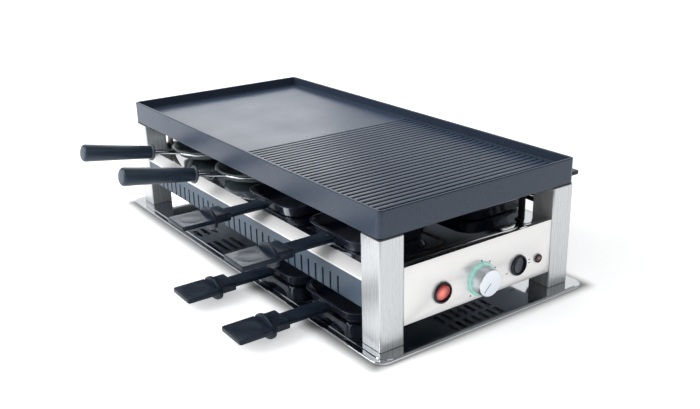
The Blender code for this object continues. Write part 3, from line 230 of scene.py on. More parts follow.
def plateCoating(name, light, level=0.20):
    # Stone-dark non-stick coating: speckle, orange peel and slightly uneven sheen
    material = newMaterial(name, light, 0.30, 0.0, {
        "Specular IOR Level": level, "Specular Tint": coolTint, "Sheen Weight": 0.20,
        "Sheen Roughness": 0.4, "Sheen Tint": (0.35, 0.60, 1.0, 1)})
    speck = grain(material, 900.0, detail=3.0)
    tint(material, speck, [value * 0.72 for value in light], [value * 1.30 for value in light])
    relief(material, grain(material, 420.0, detail=3.0), 0.00006, 0.35)
    spread(material, grain(material, 12.0, detail=5.0), "Roughness", 0.26, 0.36)
    return material


def glossyCoating(name, colour, low, high):
    material = newMaterial(name, colour, low, 0.0, {"Coat Weight": 0.35, "Coat Roughness": 0.08,
                                                    "Specular Tint": coolTint})
    mottle(material, grain(material, 45.0, detail=5.0), colour, 0.8, 1.25, low, high)
    relief(material, grain(material, 320.0, detail=2.0), 0.00006, 0.35)
    return material


def plated(name, colour, low, high):
    material = newMaterial(name, colour, low, 1.0)
    mottle(material, grain(material, 110.0, detail=5.0), colour, 0.9, 1.05, low, high)
    relief(material, grain(material, 800.0, detail=2.0), 0.00002, 0.4)
    return material


def scorchedSteel(name, colour):
    # Sheathed tube and carriers, blued and browned by heat in patches
    material = newMaterial(name, colour, 0.45, 0.85)
    patch = grain(material, 18.0, detail=6.0)
    tint(material, patch, [value * 0.6 for value in colour],
         (colour[0] * 1.9, colour[1] * 1.6, colour[2] * 1.35))
    spread(material, patch, "Roughness", 0.36, 0.58)
    relief(material, grain(material, 500.0), 0.00005, 0.6)
    return material


def turnedSilver(name, colour, centre):
    # Silver finish with fine rings about the knob's axis
    material = newMaterial(name, colour, 0.26, 0.9)
    tree = material.node_tree
    wave = tree.nodes.new("ShaderNodeTexWave")
    wave.wave_type = "RINGS"
    wave.rings_direction = "X"
    wave.inputs["Scale"].default_value = 420.0
    wave.inputs["Distortion"].default_value = 0.0
    onObject(tree, wave, location=[-value for value in centre])
    relief(material, wave.outputs["Fac"], 0.000003, 0.12)
    spread(material, grain(material, 40.0, detail=2.0), "Roughness", 0.28, 0.33)
    return material


def litPlastic(name, colour, glow, centre, radius, heart, transmission=0.35):
    # Translucent plastic that glows most round a point behind it
    material = newMaterial(name, colour, 0.14, 0.0,
                           {"Transmission Weight": transmission, "Coat Weight": 0.5})
    mottle(material, grain(material, 220.0, detail=3.0), colour, 0.8, 1.25, 0.10, 0.22)
    tree = material.node_tree
    shader = tree.nodes["Principled BSDF"]
    sphere = tree.nodes.new("ShaderNodeTexGradient")
    sphere.gradient_type = "SPHERICAL"
    onObject(tree, sphere, (radius,) * 3, centre, "TEXTURE")
    colours = ramped(tree, sphere.outputs["Fac"],
                     ((0, [value * glow for value in colour]), (1, heart)))
    tree.links.new(colours, shader.inputs["Emission Color"])
    shader.inputs["Emission Strength"].default_value = 1.0
    return material


# Middles of the knob's turned rings and of the glow behind each lit piece; at the red key the
# bright middle of the glow is a painted highlight
glowPlaces = {"knob": (0.264, 0, 0.0428), "ring": (0.266, 0, 0.0428),
              "red": (0.2645, -0.0505, 0.0420), "lamp": (0.2655, 0.0795, 0.0440)}

postSteel = brushedSteel("post_steel", "Z", (0.69, 0.71, 0.73), 0.55, 0.26, 0.31)
panelSteel = brushedSteel("panel_steel", "Y", (0.97, 0.96, 0.95), 0.55, 0.29, 0.34)
rearSteel = brushedSteel("rear_steel", "Y", (0.70, 0.705, 0.71), 0.75, 0.28, 0.38)
# The sloping strips are near white and hardly metallic, so they show bright all along: a painted
# reflection in place of the steel's own
stripPaintedBright = brushedSteel("strip_painted_bright", "X", (0.99, 0.99, 0.99), 0.05, 0.46, 0.54)
trayMirror = mirrorSteel("tray_mirror")
shelfMirror = mirrorSteel("shelf_mirror")
skirtFinish = skirtPaint("skirt_finish")
plateFinish = plateCoating("plate_finish", (0.029, 0.040, 0.064))
# The walls' copy of the coating is a little lighter than the floor's, painted light that brightens
# the walls
wallFinishLit = plateCoating("wall_finish_lit", (0.033, 0.045, 0.070), 0.52)
ribFinish = plateCoating("rib_finish", (0.025, 0.034, 0.055))
panFinish = glossyCoating("pan_finish", (0.016, 0.019, 0.033), 0.10, 0.18)
wokFinish = glossyCoating("wok_finish", (0.125, 0.158, 0.166), 0.30, 0.40)
gripFinish = moulded("grip_finish", (0.009, 0.015, 0.027), 0.29, 0.000004, {
    "Specular IOR Level": 0.26, "Specular Tint": coolTint, "Sheen Weight": 0.12,
    "Sheen Roughness": 0.35, "Sheen Tint": (0.35, 0.60, 1.0, 1)})
wokGripFinish = moulded("wok_grip_finish", (0.026, 0.040, 0.064), 0.34, 0.00002,
                        {"Specular IOR Level": 0.5, "Specular Tint": coolTint})
collarFinish = moulded("collar_finish", (0.075, 0.088, 0.110), 0.32)
wireFinish = plated("wire_finish", (0.58, 0.60, 0.62), 0.14, 0.24)
glossBlack = moulded("gloss_black", (0.010, 0.012, 0.020), 0.18, 0.00001,
                     {"Specular Tint": coolTint})
padFinish = moulded("pad_finish", (0.016, 0.016, 0.017), 0.45)
rubberFinish = moulded("rubber_finish", (0.022, 0.022, 0.023), 0.75, 0.00008)
knobFinish = turnedSilver("knob_finish", (0.80, 0.84, 0.90), glowPlaces["knob"])
pointerFinish = moulded("pointer_finish", (0.28, 0.30, 0.34), 0.45, 0.00001)
ringFinish = litPlastic("ring_finish", (0.56, 0.82, 0.77), 0.16, glowPlaces["ring"], 0.020,
                        (0.06, 0.18, 0.15), 0.5)
# The power key glows brightest at its middle: a lit switch's glow with a painted highlight at its
# heart
redGlowAndHighlight = litPlastic("red_glow_and_highlight", (0.50, 0.030, 0.024), 0.10, glowPlaces["red"], 0.0072,
                       (0.78, 0.25, 0.18))
lampFinish = litPlastic("lamp_finish", (0.16, 0.02, 0.03), 0.04, glowPlaces["lamp"], 0.0035,
                        (0.14, 0.07, 0.08))
elementFinish = scorchedSteel("element_finish", (0.085, 0.085, 0.090))
carrierFinish = scorchedSteel("carrier_finish", (0.13, 0.13, 0.14))
screwFinish = plated("screw_finish", (0.55, 0.55, 0.57), 0.20, 0.34)
ceramicFinish = moulded("ceramic_finish", (0.80, 0.78, 0.71), 0.60)
sleeveFinish = moulded("sleeve_finish", (0.10, 0.035, 0.03), 0.60)
fuseFinish = plated("fuse_finish", (0.72, 0.72, 0.74), 0.34, 0.48)
inkFinish = moulded("ink_finish", (0.030, 0.032, 0.036), 0.50, 0.00001)
print("materials made")


# Shape helpers

tiny = 0.00001   # two heights closer than this are the same
straight = 0.99   # the share of a direction that counts as along an axis


def block(bm, low, high):
    # A cube between two corners; gives its vertices
    low, high = Vector(low), Vector(high)
    verts = bmesh.ops.create_cube(bm, size=1)["verts"]
    bmesh.ops.scale(bm, vec=high - low, verts=verts)
    bmesh.ops.translate(bm, vec=(low + high) / 2, verts=verts)
    return verts


def inset(bm, faces, thickness, depth=0.0):
    bmesh.ops.inset_region(bm, faces=faces, thickness=thickness, depth=depth,
                           use_even_offset=True)


def faceOutwards(bm):
    bmesh.ops.recalc_face_normals(bm, faces=bm.faces)


def edgesOf(verts):
    return list({edge for vert in verts for edge in vert.link_edges})


def edgesWithin(edges, verts):
    return [edge for edge in edges if all(vert in verts for vert in edge.verts)]


def edgesAlong(edges, axis):
    place = "XYZ".index(axis)
    return [edge for edge in edges
            if abs((edge.verts[0].co - edge.verts[1].co).normalized()[place]) > straight]


def soften(bm, edges, width, segments=2):
    return bmesh.ops.bevel(bm, geom=list(edges), offset=width, offset_type="OFFSET",
                           segments=segments, profile=0.5, affect="EDGES", material=-1,
                           clamp_overlap=True)


def sharpEdges(bm, limit=30.0):
    return [edge for edge in bm.edges if edge.is_manifold
            and edge.calc_face_angle(0.0) > math.radians(limit)]


def keepFlat(bm, area=0.0004, width=0.0003):
    # A narrow ring inside each large face, so that its shading stays level
    bm.normal_update()
    large = [face for face in bm.faces if face.calc_area() > area]
    bmesh.ops.inset_individual(bm, faces=large, thickness=width, use_even_offset=True)


def topFaces(bm, height, up=1):
    return [face for face in bm.faces if abs(face.calc_center_median().z - height) < 5 * tiny
            and face.normal.z * up > straight]


def pressed(bm, faces, rise):
    # Moves faces up or down with walls round them; gives their new vertices
    grown = bmesh.ops.extrude_face_region(bm, geom=faces)["geom"]
    bmesh.ops.delete(bm, geom=faces, context="FACES")
    verts = [item for item in grown if isinstance(item, bmesh.types.BMVert)]
    bmesh.ops.translate(bm, vec=(0, 0, rise), verts=verts)
    return verts


def spun(profile, steps=64):
    # Turns a chain of radius and height about Z
    bm = bmesh.new()
    verts = [bm.verts.new((radius, 0, height)) for radius, height in profile]
    edges = [bm.edges.new(pair) for pair in zip(verts, verts[1:])]
    bmesh.ops.spin(bm, geom=verts + edges, cent=(0, 0, 0), axis=(0, 0, 1), dvec=(0, 0, 0),
                   angle=2 * math.pi, steps=steps, use_merge=True, use_duplicate=False)
    bmesh.ops.remove_doubles(bm, verts=bm.verts, dist=0.000001)
    faceOutwards(bm)
    return bm


def move(bm, matrix, verts=None):
    bmesh.ops.transform(bm, matrix=matrix, verts=verts or bm.verts)


def facing(axis, place):
    # Turns +Z to +X or -X and moves the origin to a place
    turn = Matrix.Rotation(math.pi / 2 if axis == "+X" else -math.pi / 2, 4, "Y")
    return Matrix.Translation(place) @ turn


def addPiece(name, bm, material, body, replaced=(), smooth=38.0):
    mesh = bpy.data.meshes.new(name)
    bm.to_mesh(mesh)
    bm.free()
    mesh.materials.append(material)
    mesh.shade_smooth()
    mesh.set_sharp_from_angle(angle=math.radians(smooth))
    piece = newObject(name, mesh)
    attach(piece, body)
    if replaced:
        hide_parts(*replaced)
    return piece


def refined(node, material, width=0.0, segments=2, round=0, smooth=38.0):
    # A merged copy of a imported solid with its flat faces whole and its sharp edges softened
    bm = bmesh.new()
    bm.from_mesh(nodes[node].data)
    bmesh.ops.remove_doubles(bm, verts=bm.verts, dist=0.000002)
    bmesh.ops.dissolve_limit(bm, angle_limit=math.radians(1.0), verts=bm.verts, edges=bm.edges,
                             use_dissolve_boundaries=False, delimit=set())
    if width:
        soften(bm, sharpEdges(bm, 45.0), width, segments)
    piece = addPiece(node + "_shell", bm, material, nodes[node]["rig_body"], (node,), smooth)
    if round:
        modifier = piece.modifiers.new("round", "SUBSURF")
        modifier.levels = modifier.render_levels = round
    return piece


# Grill plate: rounded walls, a fillet round the floor, a smooth half and a ribbed half
plateSizes = {"halfLength": 0.2650, "halfWidth": 0.1250, "top": 0.1417, "under": 0.1155,
              "corner": 0.0050, "wall": 0.0032, "floor": 0.1307, "floorUnder": 0.1247,
              "fillet": 0.0030, "rim": 0.0009, "ribStart": 0.0020, "ribPitch": 0.0080,
              "ribWidth": 0.0066, "ribTop": 0.0056, "ribHeight": 0.0020, "ribMargin": 0.0060,
              "ribEdge": 0.0005, "ribRoot": 0.0004}


def makePlate():
    size = plateSizes
    bm = bmesh.new()
    block(bm, (-size["halfLength"], -size["halfWidth"], size["under"]),
          (size["halfLength"], size["halfWidth"], size["top"]))
    soften(bm, edgesAlong(bm.edges, "Z"), size["corner"], 8)
    for level, depth, up in ((size["top"], size["floor"], 1),
                             (size["under"], size["floorUnder"], -1)):
        bm.normal_update()
        face = topFaces(bm, level, up)
        inset(bm, face, size["wall"])
        verts = pressed(bm, face, depth - level)
        soften(bm, edgesWithin(edgesOf(verts), verts), size["fillet"], 4)
    rims = [edge for edge in sharpEdges(bm, 50.0)
            if all(min(abs(vert.co.z - size["top"]), abs(vert.co.z - size["under"])) < tiny
                   for vert in edge.verts)]
    soften(bm, rims, size["rim"], 3)
    faceOutwards(bm)
    keepFlat(bm, area=0.002)
    body = addPiece("plate_body", bm, plateFinish, "plate", ("grill_plate",),
                    smooth=50.0)
    body.data.materials.append(wallFinishLit)
    wallX, wallY = (size[half] - size["wall"] / 2 for half in ("halfLength", "halfWidth"))
    for face in body.data.polygons:   # the outer walls are a little glossier than the floor, and lighter as painted light
        if abs(face.normal.z) < 0.5 and (abs(face.center.x) > wallX
                                         or abs(face.center.y) > wallY):
            face.material_index = 1
    count = math.floor((size["halfLength"] - size["wall"] - size["ribMargin"] - size["ribStart"])
                       / size["ribPitch"])
    reach = size["halfWidth"] - size["wall"] - size["ribMargin"]
    bm = bmesh.new()
    for number in range(count):
        middle = size["ribStart"] + size["ribPitch"] * (number + 0.5)
        verts = block(bm, (middle - size["ribWidth"] / 2, -reach, size["floor"] - size["ribRoot"]),
                      (middle + size["ribWidth"] / 2, reach, size["floor"] + size["ribHeight"]))
        for vert in [vert for vert in verts if vert.co.z > size["floor"]]:
            vert.co.x = middle + math.copysign(size["ribTop"] / 2, vert.co.x - middle)
            vert.co.y -= math.copysign(size["ribEdge"] * 2, vert.co.y)
    crowns = [edge for edge in bm.edges if all(vert.co.z > size["floor"] for vert in edge.verts)]
    soften(bm, crowns, size["ribEdge"], 3)
    addPiece("plate_ribs", bm, ribFinish, "plate", (), smooth=50.0)


# Base tray: mirror plate with a lowered border and an edge turned down
traySizes = {"halfX": 0.2797, "halfY": 0.1378, "corner": 0.0130, "borderX": 0.0012,
             "borderY": 0.0060, "floor": 0.0042, "border": 0.0035, "edgeClear": 0.0006,
             "sheet": 0.0012, "lip": 0.0011, "step": 0.0008}


def makeTray():
    size = traySizes
    bm = bmesh.new()
    block(bm, (-size["halfX"], -size["halfY"], size["edgeClear"]),
          (size["halfX"], size["halfY"], size["border"]))
    soften(bm, edgesAlong(bm.edges, "Z"), size["corner"], 14)
    bm.normal_update()
    face = topFaces(bm, size["border"])
    inset(bm, face, size["borderX"])
    for vert in face[0].verts:   # the border is wider along the long sides
        vert.co.y -= math.copysign(size["borderY"] - size["borderX"], vert.co.y)
    inset(bm, face, size["step"], size["floor"] - size["border"])
    below = topFaces(bm, size["edgeClear"], -1)
    inset(bm, below, size["sheet"])
    pressed(bm, below, size["border"] - size["sheet"] - size["edgeClear"])
    rim = [edge for edge in sharpEdges(bm, 80.0)
           if all(abs(vert.co.z - size["border"]) < tiny for vert in edge.verts)]
    soften(bm, rim, size["lip"], 4)
    faceOutwards(bm)
    keepFlat(bm, area=0.002)
    addPiece("tray_sheet", bm, trayMirror, "grill_base", ("base_tray",),
             smooth=24.0)


# Posts: square tubes with rounded corners, each with its cap and its foot
postSizes = {"x": 0.2510, "y": 0.1110, "half": 0.0140, "low": 0.0045, "high": 0.1137,
             "corner": 0.0016, "edge": 0.0003, "capEdge": 0.0003, "footEdge": 0.0002}
corners = [(signX, signY) for signX in (-1, 1) for signY in (-1, 1)]


def makePosts():
    size = postSizes
    for number, (signX, signY) in enumerate(corners, 1):
        x, y = signX * size["x"], signY * size["y"]
        bm = bmesh.new()
        block(bm, (x - size["half"], y - size["half"], size["low"]),
              (x + size["half"], y + size["half"], size["high"]))
        soften(bm, edgesAlong(bm.edges, "Z"), size["corner"], 6)
        soften(bm, sharpEdges(bm, 80.0), size["edge"], 2)
        faceOutwards(bm)
        keepFlat(bm, area=0.0008)
        addPiece(f"post_tube_{number}", bm, postSteel, "grill_base", (f"post_{number}",))
        refined(f"post_cap_{number}", padFinish, size["capEdge"])
        refined(f"foot_{number}", rubberFinish, size["footEdge"])


# Shelf, housing, panels and what they carry
housingSizes = {"stripStart": 0.1105, "level": 0.999, "paintTop": 0.0500, "paintFace": 0.2624,
                "frontFace": 0.2636, "panelEdge": 0.00035, "shelfEdge": 0.0004,
                "carrierEdge": 0.00025, "bodyEdge": 0.0004, "blockEdge": 0.0005,
                "nearlyLevel": 0.9}


def makeHousing():
    size = housingSizes
    shelf = refined("shelf", shelfMirror, size["shelfEdge"])
    shelf.data.materials.append(stripPaintedBright)
    shelf.data.materials.append(carrierFinish)
    for face in shelf.data.polygons:   # brushed sloping strips painted bright as a painted reflection, a mirror on top, dull beneath
        if abs(face.center.y) > size["stripStart"] and abs(face.normal.z) < size["level"]:
            face.material_index = 1
        elif face.normal.z < -size["nearlyLevel"]:
            face.material_index = 2
    refined("housing_skirt", skirtFinish, smooth=30.0)
    panel = refined("control_panel", panelSteel, size["panelEdge"])
    panel.data.materials.append(skirtFinish)
    panel.data.materials.append(shelfMirror)
    for face in panel.data.polygons:   # painted under the controls, polished along the top
        if face.center.x < size["paintFace"] and face.center.z < size["paintTop"]:
            face.material_index = 1
        elif face.center.x < size["frontFace"] and face.normal.z > size["nearlyLevel"]:
            face.material_index = 2
    refined("rear_panel", rearSteel, size["panelEdge"])
    for side in ("left", "right"):
        refined(f"element_carrier_{side}", carrierFinish, size["carrierEdge"])
    refined("heating_element", elementFinish, round=2)
    refined("thermostat_body", carrierFinish, size["bodyEdge"])
    refined("terminal_block", ceramicFinish, size["blockEdge"])
    refined("thermal_fuse", fuseFinish, size["blockEdge"])
    for node in ("wire_feed", "wire_return", "wire_thermostat_to_fuse", "wire_fuse_to_element"):
        refined(node, sleeveFinish, round=1)


# Switches, lamp and knob on the control panel
panelSizes = {"face": 0.2640, "height": 0.0428, "powerY": -0.0498, "selectorY": 0.0513,
              "lampY": 0.0795, "gap": 0.0003}
switchSizes = {"bezel": 0.0110, "bezelHeight": 0.0020, "well": 0.0090, "wellDepth": 0.0054,
               "barrel": 0.0098, "depth": 0.0150, "edge": 0.0007, "rocker": 0.0086,
               "rockerThick": 0.0028, "rockerRound": 0.9, "dish": 0.0004, "dishRing": 0.2,
               "tilt": 8.0, "back": 0.0014, "clear": 0.0004, "bezelEdge": 0.0003,
               "wellEdge": 0.0004,
               "bezelRim": ((0.0008, 0.0002), (0.0002, 0.0009))}   # inwards and down


def switchBezel(name, place):
    size = switchSizes
    bezel, well, barrel, edge = (size[key] for key in ("bezel", "well", "barrel", "bezelEdge"))
    top = size["bezelHeight"]
    bottom = top - size["wellDepth"]
    rim = [(bezel - inward, top - drop) for inward, drop in size["bezelRim"]]
    bm = spun([(0, bottom), (well, bottom), (well, top - size["wellEdge"]), (well + edge, top),
               *rim, (bezel, 0), (barrel, 0), (barrel, -size["depth"]), (0, -size["depth"])])
    soften(bm, sharpEdges(bm, 25.0), edge, 2)
    move(bm, facing("+X", place))
    addPiece(name + "_bezel", bm, glossBlack, "grill_base", (name + "_body",))


def switchRocker(name, place, material, pivot, body):
    # A short drum with a shallow dish in its face, tipped about its pivot
    size = switchSizes
    bm = bmesh.new()
    back = size["bezelHeight"] - size["wellDepth"] + size["back"]
    front = back + size["rockerThick"]
    bmesh.ops.create_cone(bm, cap_ends=True, segments=48, radius1=size["rocker"],
                          radius2=size["rocker"], depth=size["rockerThick"])
    bmesh.ops.translate(bm, vec=(0, 0, (back + front) / 2), verts=bm.verts)
    bm.normal_update()
    face = topFaces(bm, front)
    inset(bm, face, size["edge"])
    for step in range(3):
        inset(bm, face, size["rocker"] * size["dishRing"], -size["dish"] / (step + 1))
    soften(bm, sharpEdges(bm, 60.0), size["edge"] * size["rockerRound"], 3)
    pivotX = size["bezelHeight"] - size["wellDepth"] / 2
    move(bm, facing("+X", (-pivotX, 0, 0)))
    shrink = 1 - 2 * size["clear"] / size["rocker"]
    bmesh.ops.scale(bm, vec=(1, 1, shrink) if pivot == "Y" else (1, shrink, 1), verts=bm.verts)
    move(bm, Matrix.Rotation(math.radians(size["tilt"]), 4, pivot))
    bmesh.ops.translate(bm, vec=place + Vector((pivotX, 0, 0)), verts=bm.verts)
    faceOutwards(bm)
    addPiece(name + "_key", bm, material, body, (name + "_rocker",))


def makeSwitches():
    for name, y, material, pivot, slot in (
            ("power", panelSizes["powerY"], redGlowAndHighlight, "Y", "rocker_red"),
            ("selector", panelSizes["selectorY"], glossBlack, "Z", "black_plastic")):
        place = Vector((panelSizes["face"] + panelSizes["gap"], y, panelSizes["height"]))
        switchBezel(name + "_switch", place)
        switchRocker(name + "_switch", place, material, pivot, name + "_rocker")


# Knob with its pointer line, on the thermostat's shaft, over a translucent ring
knobSizes = {"low": 0.0028, "high": 0.0135, "foot": 0.0150, "tip": 0.0141, "chamfer": 0.0008,
             "edge": 0.0004, "fine": 0.00015, "bore": 0.0034, "recess": 0.0015,
             "ring": 0.0174, "ringHeight": 0.0020, "ringBore": 0.0060, "ringEdge": 0.0010,
             "ringCorner": 0.0003, "pointerLength": 0.0118, "pointerWidth": 0.0011,
             "pointerAngle": 225.0, "pointerProud": 0.00006, "pointerEdge": 0.00005}


def makeKnob():
    size = knobSizes
    place = (panelSizes["face"], 0, panelSizes["height"])
    low, high, tip, foot, edge = (size[key] for key in ("low", "high", "tip", "foot", "edge"))
    hollow = size["bore"] + size["recess"]
    bm = spun([(0, high), (tip - size["chamfer"], high), (tip, high - size["chamfer"]),
               (foot, low + edge), (foot - edge, low), (hollow, low),
               (hollow, low + size["recess"]), (0, low + size["recess"])], 72)
    soften(bm, sharpEdges(bm, 40.0), size["fine"], 2)
    move(bm, facing("+X", place))
    addPiece("knob_cap", bm, knobFinish, "knob_and_shaft", ("knob",),
             smooth=30.0)
    bm = bmesh.new()   # the inlaid pointer line
    block(bm, (high - edge, -size["pointerWidth"] / 2, 0),
          (high + size["pointerProud"], size["pointerWidth"] / 2, size["pointerLength"]))
    soften(bm, bm.edges[:], size["pointerEdge"], 1)
    angle = math.radians(size["pointerAngle"] - 90)
    move(bm, Matrix.Translation(place) @ Matrix.Rotation(angle, 4, "X"))
    addPiece("knob_pointer", bm, pointerFinish, "knob_and_shaft", ())
    refined("thermostat_shaft", screwFinish)
    ring, top, bore = size["ring"], size["ringHeight"], size["ringBore"]
    bm = spun([(bore, top), (ring - size["ringEdge"], top),
               (ring - size["ringCorner"], top - edge), (ring, top / 2), (ring, 0), (bore, 0),
               (bore, top)], 72)
    move(bm, facing("+X", (place[0] + panelSizes["gap"], 0, place[2])))
    addPiece("knob_ring_disc", bm, ringFinish, "grill_base", ("knob_ring",))


# Printed marks: plain dots and short dashes, as (y, height over the controls)
markSizes = {"proud": 0.00004, "dot": 0.0010, "dots": ((0.0, 0.0187), (0.0108, 0.0154),
             (0.0184, 0.0067), (-0.0137, -0.0145)),
             "dashes": ((0.0668, 0.0022), (0.0668, -0.0014), (0.0353, -0.0050)),
             "dashHalf": (0.0015, 0.0004), "dotTopShare": 0.96}


def makeMarks():
    size = markSizes
    bm = bmesh.new()
    for y, rise in size["dots"]:
        verts = bmesh.ops.create_cone(bm, cap_ends=True, segments=20, radius1=size["dot"],
                                      radius2=size["dot"] * size["dotTopShare"],
                                      depth=2 * size["proud"])["verts"]
        move(bm, facing("+X", (panelSizes["face"], y, panelSizes["height"] + rise)), verts)
    for y, rise in size["dashes"]:
        height = panelSizes["height"] + rise
        block(bm, (panelSizes["face"] - size["proud"], y - size["dashHalf"][0],
                   height - size["dashHalf"][1]),
              (panelSizes["face"] + size["proud"], y + size["dashHalf"][0],
               height + size["dashHalf"][1]))
    addPiece("panel_marks", bm, inkFinish, "grill_base", ())


# Indicator lamp: a domed lens in a black ring
lampSizes = {"ring": 0.0046, "ringHeight": 0.0014, "lens": 0.0033, "low": 0.0004,
             "height": 0.0018, "barrel": 0.0034, "depth": 0.012, "fit": 0.0001,
             "edge": 0.0004, "seat": 0.0002, "boreEdge": 0.0003, "ringEdge": 0.0005}


def makeLamp():
    size = lampSizes
    place = (panelSizes["face"] + panelSizes["gap"], panelSizes["lampY"], panelSizes["height"])
    dome = [(size["lens"] * math.sin(math.radians(angle)),
             size["low"] + (size["height"] - size["low"]) * math.cos(math.radians(angle)))
            for angle in range(0, 91, 15)]
    bm = spun(dome + [(size["lens"] - size["boreEdge"], -size["depth"] / 2),
                      (0, -size["depth"] / 2)], 40)
    move(bm, facing("+X", place))
    addPiece("lamp_lens", bm, lampFinish, "grill_base", ("indicator_lamp",),
             smooth=50.0)
    top, ring, edge = size["ringHeight"], size["ring"], size["edge"]
    bore = size["lens"] + size["fit"]
    bm = spun([(bore, size["seat"]), (bore, top - size["boreEdge"]),
               (size["lens"] + edge, top), (ring - edge, top), (ring, top - size["ringEdge"]),
               (ring, 0), (size["barrel"], 0), (size["barrel"], -size["depth"]),
               (bore, -size["depth"]), (bore, size["seat"])], 40)
    move(bm, facing("+X", place))
    addPiece("lamp_ring", bm, glossBlack, "grill_base", (), smooth=40.0)


# Mains gland in the rear panel, with grip rings round its nose
glandSizes = {"y": 0.0600, "z": 0.0520, "flange": 0.0100, "flangeHeight": 0.0030,
              "nose": 0.0075, "noseHeight": 0.0090, "neck": 0.0065, "depth": 0.0080,
              "bore": 0.0034, "edge": 0.0005, "grooves": 3, "firstGroove": 0.0022,
              "pitch": 0.0020, "noseTip": ((0.0012, 0), (0.0006, 0.0008)),   # inwards and down
              "groove": ((0.0004, 0), (0.0010, 0.0004), (0.0010, 0.0010), (0.0002, 0.0014))}


def makeGland():
    size = glandSizes
    bore, nose, flange, neck = (size[name] for name in ("bore", "nose", "flange", "neck"))
    base = size["flangeHeight"]
    top = base + size["noseHeight"]
    profile = [(bore, top)] + [(nose - inward, top - drop) for inward, drop in size["noseTip"]]
    for number in range(size["grooves"]):
        ring = top - size["firstGroove"] - number * size["pitch"]
        profile += [(nose - inward, ring - drop) for inward, drop in size["groove"]]
    profile += [(nose, base), (flange - size["edge"], base), (flange, base - size["edge"]),
                (flange, 0), (neck, 0), (neck, -size["depth"]), (bore, -size["depth"]),
                (bore, top)]
    bm = spun(profile, 48)
    move(bm, facing("-X", (-panelSizes["face"] - panelSizes["gap"], size["y"], size["z"])))
    addPiece("gland_body", bm, padFinish, "grill_base", ("cord_gland",))


# Raclette pans: pressed and flanged, with a tang, a moulded handle and its screw
panSizes = {"half": 0.0480, "wallTop": 0.0460, "base": 0.0420, "depth": 0.0140, "sheet": 0.0010,
            "corner": 0.0175, "baseEdge": 0.0030, "tangHalf": 0.0070, "tangLow": 0.0078,
            "tangHigh": 0.0090, "tangEnd": 0.1110, "tangGap": 0.0030, "tangEdge": 0.0003,
            "screwEdge": 0.0002, "insideShare": 0.8, "rimShare": 1.2, "roundShare": 0.35}
gripSizes = {"tip": 0.1540, "guard": 0.1185, "guardThick": 0.0040, "half": 0.0185,
             "low": 0.0072, "high": 0.0120, "corner": 0.0024, "edge": 0.0008, "dish": 0.0009,
             "rings": ((1.10, 0.0), (1.04, 0.03), (0.96, 0.14), (0.84, 0.38), (0.68, 0.64),
                       (0.48, 0.84), (0.28, 0.95), (0.08, 1.0)),
             "ovalX": 0.74, "ovalY": 0.37, "border": 0.0005, "ringInset": 0.0002,
             "guardLow": -0.0036, "guardHigh": 0.0192, "guardRound": 1.2, "overlap": 0.002,
             "socketHalf": 0.0145, "socketLow": 0.0046, "socketHigh": 0.0138,
             "socketEnd": 0.0970, "socketEdge": 0.0020, "shaftHalf": 0.0105,
             "shaftLow": 0.0064, "shaftHigh": 0.0104, "shaftEnd": 0.0490, "shaftEdge": 0.0010}
panStations = [(0.0420, -0.0610, 0.0741, 0), (0.1640, -0.0610, 0.0741, 0),
               (0.0620, -0.0710, 0.0045, 0), (0.1680, -0.0710, 0.0045, 0),
               (0.1660, 0.0790, 0.0741, math.pi)]


def panShape():
    size = panSizes
    bm = bmesh.new()
    block(bm, (-size["wallTop"], -size["wallTop"], 0), (size["wallTop"], size["wallTop"],
                                                       size["depth"] - size["sheet"]))
    soften(bm, edgesAlong(bm.edges, "Z"), size["corner"], 10)
    shrink = size["base"] / size["wallTop"]
    lows = [vert for vert in bm.verts if vert.co.z < size["depth"] / 2]
    bmesh.ops.scale(bm, vec=(shrink, shrink, 1), verts=lows)
    soften(bm, edgesWithin(bm.edges, lows), size["baseEdge"], 4)
    bm.normal_update()
    cap = topFaces(bm, size["depth"] - size["sheet"])
    inset(bm, cap, size["wallTop"] - size["half"])
    return bm, cap


def panBody(bm, cap):
    # The flange grows outwards from the rim, then the inside is pressed down
    size = panSizes
    rimZ = size["depth"]
    pressed(bm, cap, size["sheet"])
    bm.normal_update()
    top = topFaces(bm, rimZ)
    inset(bm, top, size["half"] - size["wallTop"] + size["sheet"] * size["insideShare"])
    floor = pressed(bm, top, size["sheet"] - rimZ)
    shrink = (size["base"] - size["sheet"]) / (size["wallTop"] - size["sheet"])
    bmesh.ops.scale(bm, vec=(shrink, shrink, 1), verts=floor)
    soften(bm, edgesWithin(edgesOf(floor), floor), size["baseEdge"], 4)
    rims = [edge for edge in sharpEdges(bm, 50.0)
            if all(vert.co.z > rimZ - size["sheet"] * size["rimShare"] for vert in edge.verts)]
    soften(bm, rims, size["sheet"] * size["roundShare"], 2)
    verts = block(bm, (-size["tangHalf"], -size["tangEnd"], size["tangLow"]),
                  (size["tangHalf"], -size["base"] - size["tangGap"], size["tangHigh"]))
    soften(bm, edgesOf(verts), size["tangEdge"], 2)
    return bm


